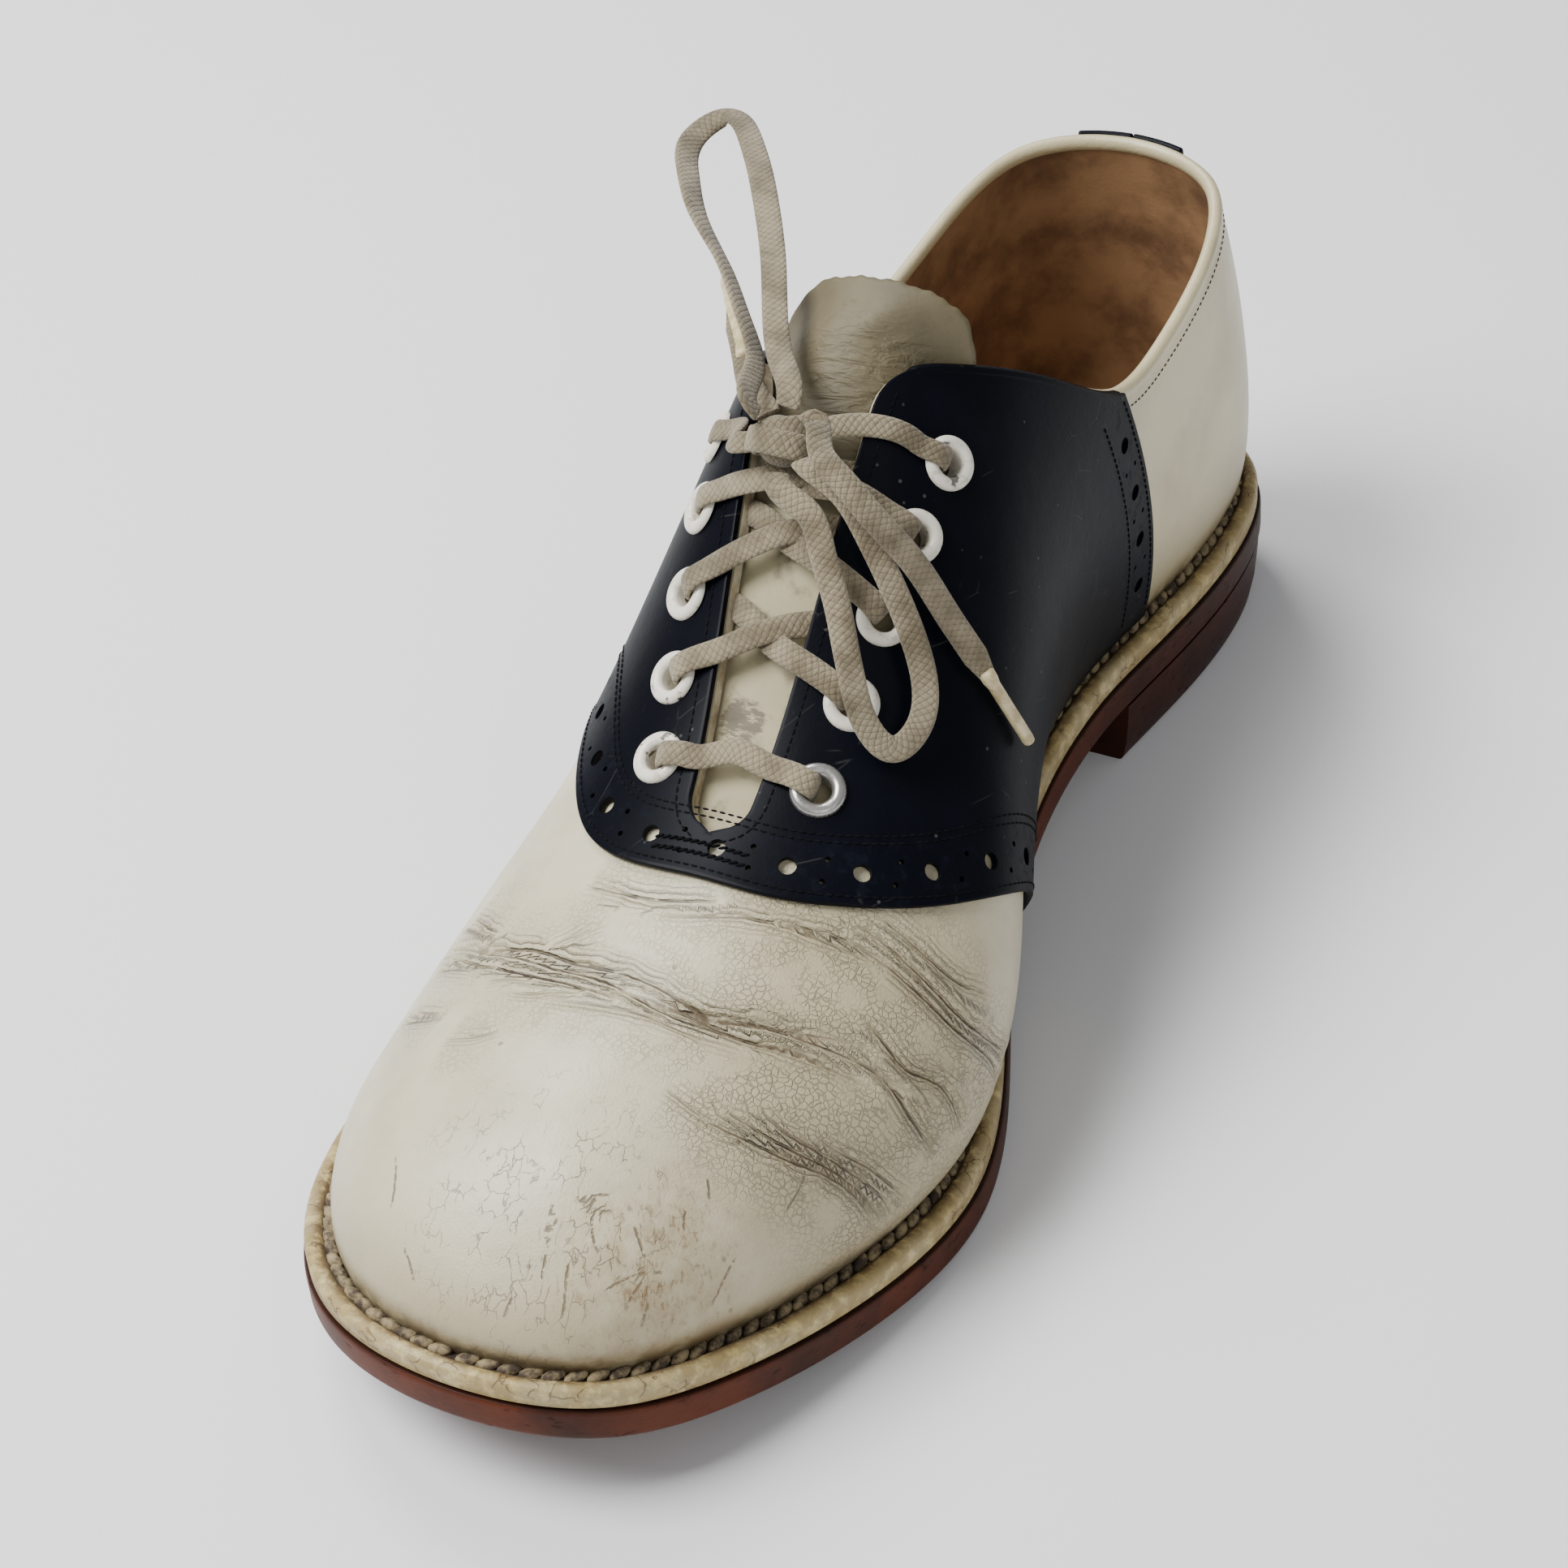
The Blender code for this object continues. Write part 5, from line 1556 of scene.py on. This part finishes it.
@dataclass
class Tongue:
    """The tongue under the facings, its end rounded at the corners and a little ragged."""

    finishes: Finishes
    root: float = -58.0
    end: float = 27.0
    half_root: float = 19.0
    half_end: float = 26.5
    end_sag: float = 5.0
    corner: float = 12.5
    corner_power: int = 5
    free_from: float = 14.0
    free_later: float = 9.0
    free_run: float = 11.0
    free_half: float = 24.0
    free_shift: float = 4.5
    free_drop: float = 4.6
    free_curve: float = 0.021
    drop: float = 2.6
    wall: float = 1.7

    def place(self, u: Array, v: Array) -> Array:
        """The tongue's face: u across from lateral to medial, v from root to end."""
        out = np.empty((len(u), 3))
        q = 2 * u - 1
        ragged = 0.12 * np.sin(23 * q) + 0.10 * np.sin(59 * q + 1.0)
        end = self.end + self.end_sag * q ** 2 - self.corner * np.abs(q) ** self.corner_power + ragged
        y = self.root + (end - self.root) * v
        half = self.half_root + (self.half_end - self.half_root) * v
        ripple = 0.35 * np.sin(q * 5.0 + 1.2) * np.clip((v - 0.8) / 0.2, 0.0, 1.0)
        for side in Side:
            chosen = (q > 0) == (side is Side.MEDIAL)
            points, normals = LAST.instep(side, y[chosen], np.abs(q[chosen]) * half[chosen])
            out[chosen] = points - normals * (self.drop - ripple[chosen])[:, None]
        free = np.clip((y - self.free_from - self.free_later * np.abs(q)) / self.free_run, 0.0, 1.0)
        free = (free * free * (3 - 2 * free))[:, None]
        across = q * self.free_half
        middle = LAST.ridge_z(y) - self.free_drop - self.free_curve * across ** 2
        open_end = np.stack([LAST.ridge_x(y) + self.free_shift + across, y, middle + ripple], 1)
        return out + (open_end - out) * free

    def build(self) -> None:
        """The sheet with its wall."""
        piece = Piece("tongue_sheet")
        piece.sheet(90, 110, self.place)
        piece.weld()
        piece.face_out(lambda points: np.tile((0.0, -0.5, 1.0), (len(points), 1)))
        made = piece.finish((self.finishes.tongue,), ("tongue",))
        add_wall(made, self.wall, outward=False)
        settle(made)


@dataclass
class Sole:
    """Outsole, heel block, welt with its rope stitches, and the insole's finish."""

    finishes: Finishes
    heel_breast: float = 62.0
    heel_inset: float = 2.0
    round_edge: float = 1.2
    welt_inset: float = 0.7
    welt_inner: float = 8.8
    rope_pitch: float = 3.5
    rope: tuple = (2.1, 1.05, 0.95)

    def slab(self, name: str, levels: Sequence, base: Curve, node: str, columns: int,
             start_y: float | None = None) -> None:
        """A layer of the sole.

        Args:
            name: the piece's name.
            levels: inset of each ring and its height over the base, from the floor up.
            base: height of its underside as a function of y.
            node: the solid that it replaces.
            columns: faces along it.
            start_y: where it starts in a straight line across, or the toe tip.
        """
        first = {side: 0.0 if start_y is None else LAST.share_at(side, start_y) for side in Side}
        size = len(levels)
        ring = [(Side.MEDIAL, i) for i in range(size)]
        ring += [(Side.LATERAL, i) for i in reversed(range(size))]
        ring.append(ring[0])
        piece = Piece(name)

        def place(u: Array, v: Array) -> Array:
            """Points round the ring of levels."""
            out = np.empty((len(u), 3))
            number = np.rint(v * (len(ring) - 1)).astype(int)
            for k, (side, i) in enumerate(ring):
                chosen = number == k
                share = first[side] + (1.0 - first[side]) * u[chosen]
                x, y = LAST.outline(side, share, levels[i][0])
                if start_y is not None:
                    y = np.where(u[chosen] <= 0.0, start_y, y)
                out[chosen] = np.stack([x, y, base(y) + levels[i][1]], 1)
            return out
        piece.sheet(columns, len(ring) - 1, place)
        piece.weld(0.01)
        if start_y is not None:
            bmesh.ops.holes_fill(piece.bm, edges=[e for e in piece.bm.edges if e.is_boundary])
            bmesh.ops.recalc_face_normals(piece.bm, faces=piece.bm.faces)
        points, _ = piece.spots()
        top = LAST.tread(points[:, 1]) + LAST.outsole
        low = np.clip(1.0 - (points[:, 2] - LAST.tread(points[:, 1])) / 1.6, 0.0, 1.0)
        piece.note("edge", np.maximum(np.clip(1.0 - np.abs(points[:, 2] - top) / 0.9, 0.0, 1.0), low * 0.6))
        piece.finish((self.finishes.rubber,), (node,), sharp=60.0)

    def build(self) -> None:
        """All layers."""
        r = self.round_edge
        arc = [(r * (1 - math.cos(a)), r * (1 - math.sin(a))) for a in np.linspace(0.0, math.pi / 2, 5)]
        outsole = [(r, 0.0), *reversed(arc[:-1]), (0.0, 3.2)]
        outsole += [(0.4 * inset, LAST.outsole - up) for inset, up in arc]
        self.slab("outsole_slab", outsole, LAST.tread, "outsole", 240)
        inset = self.heel_inset
        heel = [(inset + 0.7, 0.0), (inset + 0.1, 0.25), (inset - 0.3, 0.9), (inset * 0.5, 4.5), (0.5, 10.0),
                (LAST.gap, LAST.heel_lift - LAST.gap)]
        self.slab("heel_block", heel, np.zeros_like, "heel", 110, self.heel_breast)
        self._welt()
        self._rope()
        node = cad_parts["insole"]
        for place in node.material_slots:
            place.material = self.finishes.insole

    def around(self, u: Array, inset: Array | float) -> Pair:
        """Plan position on a ring round the outline: medial side back, lateral side forward."""
        back = u <= 0.5
        mx, my = LAST.outline(Side.MEDIAL, np.clip(2 * u, 0.0, 1.0), inset)
        lx, ly = LAST.outline(Side.LATERAL, np.clip(2 - 2 * u, 0.0, 1.0), inset)
        return np.where(back, mx, lx), np.where(back, my, ly)

    def _welt(self) -> None:
        """The ring: rounded outer edge, flat face, and a groove beside the upper."""
        t = LAST.welt
        inner = self.welt_inner - self.welt_inset
        profile = np.array(((0.3, 0.0), (0.0, 0.35), (0.0, t - 1.3), (0.25, t - 0.65), (0.75, t - 0.2),
                            (1.3, t), (2.2, t), (2.8, t - 0.25), (3.2, t - 0.85), (5.0, t - 1.0),
                            (inner, t - 1.0), (inner, 0.0), (0.3, 0.0)))
        piece = Piece("welt_ring")

        def place(u: Array, v: Array) -> Array:
            """Points of the profile round the outline."""
            inset, up = profile[np.rint(v * (len(profile) - 1)).astype(int)].T
            x, y = self.around(u, self.welt_inset + inset)
            wave = 0.10 * np.sin(u * 190.0) * np.sin(u * 67.0 + 2.0) * (up > t - 0.9)
            return np.stack([x, y, LAST.welt_bottom(y) + up + wave], 1)
        piece.sheet(520, len(profile) - 1, place)
        piece.weld(0.01)
        points, _ = piece.spots()
        dense = np.linspace(0.0, 1.0, 900)
        edge = np.stack(self.around(dense, self.welt_inset), 1)
        inset = np.array([np.min(np.hypot(*(edge - p[:2]).T)) for p in points])
        piece.note("groove", np.interp(inset, (1.2, 2.7, 3.5), (0.0, 0.6, 1.0)))
        piece.finish((self.finishes.welt,), ("welt",))

    def _rope(self) -> None:
        """The thick stitches in the welt's groove, one by one."""
        piece = Piece("welt_rope")
        u = np.linspace(0.0, 1.0, 900)
        x, y = self.around(u, self.welt_inset + 4.3)
        z = LAST.welt_top(y) - 0.95
        stitch_row(piece, np.stack([x, y, z], 1), np.tile((0.0, 0.0, 1.0), (len(u), 1)), self.rope_pitch,
                   self.rope, slant=20.0, sink=0.2)
        piece.finish((self.finishes.rope,))


@dataclass
class Eyelets:
    """The ten rings, turned from one profile, with a barrel down through the leather."""

    finishes: Finishes
    seat: float = 1.7
    outer: float = 4.75
    bore: float = 2.35
    crown: float = 1.15
    barrel: float = 3.6

    def build(self) -> None:
        """One ring at every hole."""
        for side, row, point, normal in eyelet_seats(self.seat):
            piece = Piece(f"eyelet_ring_{side.name.lower()}_{row}")
            profile = [(self.bore, -self.barrel), (self.bore, 0.1)]
            middle, reach = (self.outer + self.bore) / 2, (self.outer - self.bore) / 2
            profile += [(middle - reach * math.cos(a), 0.1 + (self.crown - 0.1) * math.sin(a))
                        for a in np.linspace(0.25, math.pi - 0.1, 9)]
            profile += [(self.outer, 0.0), (self.outer - 0.5, -0.1), (self.bore + 0.35, -0.1),
                        (self.bore + 0.35, -self.barrel), (self.bore, -self.barrel)]
            piece.turned(profile, 36, point, normal)
            worn = side is Side.MEDIAL and row == 5
            piece.finish((self.finishes.bare_eyelet if worn else self.finishes.eyelet,),
                         (f"eyelet_{side.name.lower()}_{row}",))


@dataclass(frozen=True)
class Loop:
    """A loop of the bow: how it leaves the knot, its own points, how it comes back."""

    leave: tuple
    back: tuple
    route: tuple
    faces: tuple


@dataclass(frozen=True)
class End:
    """A free end of the bow, up to the start of its aglet, and the aglet's tip."""

    leave: tuple
    route: tuple
    tip: tuple
    face: tuple
    inside: float


LOOP_HANGING = Loop(
    (0.30, -0.85, -0.42), (0.85, -0.52, -0.05),
    ((5.9, -13.2, 104.7), (10.4, -17.2, 100.2), (14.3, -21.3, 95.6), (18.2, -26.3, 90.2), (21.6, -30.5, 84.7),
     (24.5, -32.2, 78.9), (28.4, -31.8, 75.3), (30.7, -26.9, 76.4), (29.9, -21.5, 80.4), (26.4, -17.9, 87.9),
     (21.5, -15.2, 96.0), (15.4, -11.8, 103.2), (9.5, -9.2, 107.8)),
    ((0.2, -0.75, 0.62), (0.55, -0.62, 0.55), (0.50, -0.62, 0.60), (0.70, -0.45, 0.55)))
LOOP_STANDING = Loop(
    (0.05, 0.45, 0.89), (-0.62, -0.05, 0.78),
    ((-7.2, 6.0, 119.0), (-12.6, 14.6, 121.5), (-18.4, 25.9, 124.5), (-25.7, 38.1, 127.0),
     (-36.5, 53.8, 128.5), (-44.9, 60.3, 128.5), (-47.9, 54.7, 127.5), (-44.3, 44.0, 126.5),
     (-36.6, 33.3, 125.0), (-27.5, 24.7, 122.5), (-19.1, 15.2, 119.5), (-12.2, 5.5, 117.0)),
    ((0.05, -0.45, 0.89), (0.0, -0.35, 0.94), (0.30, 0.0, 0.94), (0.68, 0.30, 0.50), (0.64, 0.25, 0.60)))
END_MEDIAL = End(
    (0.78, 0.05, 0.62),
    ((7.0, -9.0, 115.0), (12.7, -13.0, 112.8), (18.4, -14.0, 107.6), (24.2, -11.8, 98.3), (28.8, -10.0, 87.8),
     (32.6, -9.2, 80.5), (34.9, -9.2, 76.8)),
    (41.8, -7.4, 62.0), (0.62, -0.62, 0.48), 3.0)
END_LATERAL = End(
    (-0.70, 0.68, 0.20), ((-12.6, 5.0, 112.3), (-18.0, 12.5, 113.2)), (-30.4, 29.8, 115.8),
    (0.0, -0.4, 0.9), 14.5)


@dataclass
class Lacing:
    """The flat braid through the eyelets, the knot, the bow and its aglets."""

    finishes: Finishes
    width: float = 4.5
    thick: float = 1.15
    spacing: float = 0.4
    around: int = 16
    knot: tuple = (-3.0, -4.0, 110.6)
    knot_radii: tuple = (5.5, 5.0, 4.6)
    knot_off: float = 0.9
    saddle_face: float = 1.7
    crossings: tuple = ((4, -23.0), (3, -11.0), (2, -4.0))

    def ribbon(self, piece: Piece, route: Array, faces: Array, closed: bool = False,
               ends: tuple[float, float] = (1.0, 1.0), width: float | None = None) -> None:
        """Lay the braid along a route."""
        length = along_path(route)[-1]
        sweep(piece, route, faces, ((width or self.width) / 2, self.thick / 2), self.around,
              max(6, round(length / self.spacing)), closed, 2.8, ends)

    def lay(self, piece: Piece, points: Sequence, faces: Sequence, ends: tuple[float, float] = (0.8, 0.8),
            width: float | None = None) -> None:
        """Lay the braid smoothly through points that each have a face."""
        self.ribbon(piece, smooth_route(points, self.spacing), spread(points, faces, self.spacing),
                    ends=ends, width=width)

    def tie(self, piece: Piece, node: str) -> Object:
        """Close a piece of braid and put it in its solid's place."""
        piece.weld(0.005)
        return piece.finish((self.finishes.braid,), (node,))

    def through_hole(self, side: Side, row: EyeletRow, toward_y: float) -> tuple[list, list]:
        """Points and faces of the lace up out of an eyelet and over the edge of its facing."""
        y, off = row.place(side)
        seat, normal = LAST.instep(side, y, off)
        edge_y = y + toward_y
        edge_off = LAST.throat_half(side, edge_y) + 0.6
        edge, edge_normal = LAST.instep(side, edge_y, edge_off)
        inward = unit(edge - seat)
        centre = seat + inward * 0.7
        outward = -inward
        points = [centre + normal * (self.saddle_face - 4.0), centre + normal * (self.saddle_face - 1.0),
                  centre + normal * (self.saddle_face + 1.0) + inward * 0.2,
                  seat + inward * 3.3 + normal * (self.saddle_face + 2.1),
                  seat + inward * 6.0 + normal * (self.saddle_face + 1.5)]
        faces = [outward, outward, unit(outward + normal), normal, normal]
        half_way, mid_normal = LAST.instep(side, (y + edge_y) / 2, (off + edge_off) / 2)
        if np.linalg.norm(half_way - seat) > 7.5:
            points.append(half_way + mid_normal * (self.saddle_face + 1.0))
            faces.append(mid_normal)
        points.append(edge + edge_normal * (self.saddle_face + 0.8))
        faces.append(edge_normal)
        return points, faces

    def strand(self, side: Side, row: EyeletRow, cross_y: float, lift: float) -> Pair:
        """A lace from its eyelet over the slot and in under the other facing."""
        y, _ = row.place(side)
        points, faces = self.through_hole(side, row, (cross_y - y) * 0.5)
        points.append(LAST.ridge(cross_y, lift))
        faces.append(unit(faces[-1] + np.array((0.0, -0.6, 0.8))))
        other = Side.LATERAL if side is Side.MEDIAL else Side.MEDIAL
        half = LAST.throat_half(other, cross_y)
        under = ((half * 0.75, 3.2, -0.9), (half + 2.0, 5.0, -2.0), (half + 6.0, 7.5, -2.4))
        for off, along, height in under:
            point, normal = LAST.instep(other, cross_y + along, off, height)
            points.append(point)
            faces.append(normal)
        return np.array(points), np.array(faces)

    def knot_exits(self, direction: Sequence[float]) -> list[Array]:
        """Two points of a cord that leaves the knot straight out in a direction."""
        way = unit(np.array(direction))
        radius = 1.0 / np.linalg.norm(way / np.array(self.knot_radii))
        return [np.array(self.knot) + way * (radius + off) for off in (self.knot_off, self.knot_off + 2.0)]

    def build(self) -> None:
        """All laces."""
        rows = {row.row: row for row in EYELETS}
        self._bar(rows[5])
        for number, cross_y in self.crossings:
            piece = Piece(f"lace_row_{number}")
            for side, lift in ((Side.LATERAL, 1.6), (Side.MEDIAL, 0.2)):
                points, faces = self.strand(side, rows[number], cross_y, lift)
                self.lay(piece, points, faces)
            self.tie(piece, f"lace_crossing_{number}")
        for side, leave in ((Side.MEDIAL, (0.80, 0.60, 0.12)), (Side.LATERAL, (-0.97, -0.10, -0.20))):
            points, faces = self.through_hole(side, rows[1], -5.0)
            exits = self.knot_exits(leave)[::-1]
            inner = np.array(self.knot) + unit(np.array(leave)) * 3.0
            points += [*exits, inner]
            faces += [faces[-1], np.array((0.0, -0.6, 0.8)), np.array((0.0, -0.6, 0.8))]
            piece = Piece(f"lace_to_knot_{side.name.lower()}")
            self.lay(piece, points, faces, (0.8, 0.9), 4.0)
            self.tie(piece, f"lace_strand_1_{side.name.lower()}")
        self._bow()

    def _bar(self, row: EyeletRow) -> None:
        """The straight lace over the front of the throat."""
        points, faces = self.through_hole(Side.LATERAL, row, 0.0)
        other, other_faces = self.through_hole(Side.MEDIAL, row, 0.0)
        points += [LAST.ridge((row.medial_y + row.lateral_y) / 2, 2.6), *other[::-1]]
        faces += [np.array((0.0, -0.5, 0.85)), *other_faces[::-1]]
        piece = Piece("lace_bar")
        self.lay(piece, points, faces)
        self.tie(piece, "lace_bar_5")

    def _bow(self) -> None:
        """Knot, loops, ends and aglets."""
        knot = self._knot()
        for name, loop in (("hanging", LOOP_HANGING), ("standing", LOOP_STANDING)):
            points = np.array([*self.knot_exits(loop.leave), *loop.route, *self.knot_exits(loop.back)[::-1]])
            route = smooth_route(points, self.spacing)
            piece = Piece(f"lace_{name}")
            stops = np.linspace(0.0, 1.0, len(loop.faces))
            parts = np.linspace(0.0, 1.0, len(route))
            faces = np.stack([np.interp(parts, stops, axis) for axis in zip(*loop.faces)], 1)
            self.ribbon(piece, route, faces)
            made = self.tie(piece, f"lace_loop_{name}")
            path = resample(route, 2.0) * MM
            float(along_path(path)[-1])
        for name, end in (("medial", END_MEDIAL), ("lateral", END_LATERAL)):
            last, tip = np.array(end.route[-1]), np.array(end.tip)
            toward = unit(tip - last)
            points = np.array([*self.knot_exits(end.leave), *end.route, last + toward * end.inside])
            route = smooth_route(points, self.spacing)
            piece = Piece(f"lace_tail_{name}")
            self.ribbon(piece, route, np.tile(end.face, (len(route), 1)), ends=(1.0, 0.45))
            made = self.tie(piece, f"lace_end_{name}")
            aglet = self._aglet(name, last, tip)
            path = resample(route, 2.0) * MM
            float(along_path(path)[-1])

    def _knot(self) -> Object:
        """A core with two wraps of the braid round it."""
        piece = Piece("bow_knot")
        centre = np.array(self.knot)
        right, rise = np.array((1.0, 0.0, 0.0)), unit(np.array((-0.12, 0.66, 0.75)))
        out = np.cross(right, rise)
        angles = np.linspace(0.0, 2 * math.pi, 61)
        for tilt, shift, wide, deep in ((0.10, -0.6, 5.6, 3.9), (-0.32, 1.0, 5.0, 3.5)):
            axis = unit(rise + right * tilt)
            along = np.cross(axis, out)
            ring = (centre + axis * shift + np.outer(np.cos(angles), along) * wide
                    + np.outer(np.sin(angles), out) * deep)
            faces = np.outer(np.cos(angles), along) * deep + np.outer(np.sin(angles), out) * wide
            self.ribbon(piece, ring, faces, closed=True)
        piece.sheet(24, 16, lambda u, v: centre + (
            np.outer(np.cos(2 * math.pi * u) * np.sin(math.pi * v), right) * 4.6
            + np.outer(np.sin(2 * math.pi * u) * np.sin(math.pi * v), out) * 3.2
            + np.outer(np.cos(math.pi * v), rise) * 4.3), (24.0, 1.0))
        return self.tie(piece, "lace_knot")

    def _aglet(self, name: str, last: Array, tip: Array) -> Object:
        """The stiff tip of an end: a tube a little wider where it grips the braid."""
        length = float(np.linalg.norm(tip - last))
        profile = ((0.0, 0.0), (1.05, 0.0), (1.45, 0.4), (1.4, 2.0), (1.15, 3.2), (1.12, length - 1.0),
                   (1.0, length - 0.2), (0.8, length), (0.0, length))
        piece = Piece(f"aglet_tip_{name}")
        piece.turned(profile, 20, last, tip - last)
        return piece.finish((self.finishes.aglet,), (f"aglet_{name}",))


def spread(points: Array, faces: Array, spacing: float) -> Array:
    """Faces of a route's own points, carried to the points of its smooth route."""
    run = along_path(np.array(points, float))
    dense = np.linspace(0.0, run[-1], max(3, round(run[-1] / spacing) + 1))
    return unit(np.stack([np.interp(dense, run, np.array(faces)[:, i]) for i in range(3)], 1))


@dataclass
class Studio:
    """Camera at the photo's angle, pale floor and soft light."""

    eye: tuple = (245.6, -438.5, 457.1)
    target: tuple = (-2.1, -15.6, 45.5)
    roll: float = -5.62
    lens: float = 84.0

    def build(self) -> None:
        """Everything round the shoe."""
        camera = bpy.data.cameras.new("camera")
        camera.lens = self.lens
        camera.clip_start = 0.01
        made = in_scene("camera", camera)
        made.matrix_world = (aim(Vector(self.eye) * MM, Vector(self.target) * MM)
                             @ Matrix.Rotation(math.radians(self.roll), 4, "Z"))
        bpy.context.scene.camera = made
        self._floor()
        self._light("key", (-0.55, -0.45, 1.15), 0.7, 28.0)
        self._light("fill", (0.9, -0.9, 0.8), 1.0, 4.0)
        self._light("back", (-0.55, 0.42, 1.0), 0.4, 8.0)
        world = bpy.data.worlds.new("studio")
        world.use_nodes = True
        world.node_tree.nodes["Background"].inputs["Color"].default_value = (0.93, 0.95, 1.0, 1.0)
        world.node_tree.nodes["Background"].inputs["Strength"].default_value = 0.34
        bpy.context.scene.world = world

    def _floor(self) -> None:
        """A wide pale sheet."""
        pale = Board("pale_floor", (0.86, 0.86, 0.86)).done(Roughness=0.9)
        bm = bmesh.new()
        bmesh.ops.create_grid(bm, x_segments=1, y_segments=1, size=3.0)
        mesh = bpy.data.meshes.new("floor")
        bm.to_mesh(mesh)
        bm.free()
        mesh.materials.append(pale)
        in_scene("floor", mesh)

    def _light(self, name: str, place: tuple, size: float, power: float) -> None:
        """A soft square light that looks at the shoe."""
        light = bpy.data.lights.new(name, "AREA")
        light.size = size
        light.energy = power
        in_scene(name, light).matrix_world = aim(Vector(place), Vector((0.0, -0.02, 0.05)))


def main() -> None:
    """Build the shoe's pieces in order."""
    logging.basicConfig(level=logging.INFO, format="%(name)s %(message)s")
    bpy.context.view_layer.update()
    Studio().build()
    finishes = Finishes()
    Lacing(finishes).build()
    Sole(finishes).build()
    Upper(finishes).build()
    Saddle(finishes).build()
    Tongue(finishes).build()
    Eyelets(finishes).build()
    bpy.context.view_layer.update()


if __name__ == "__main__":
    main()
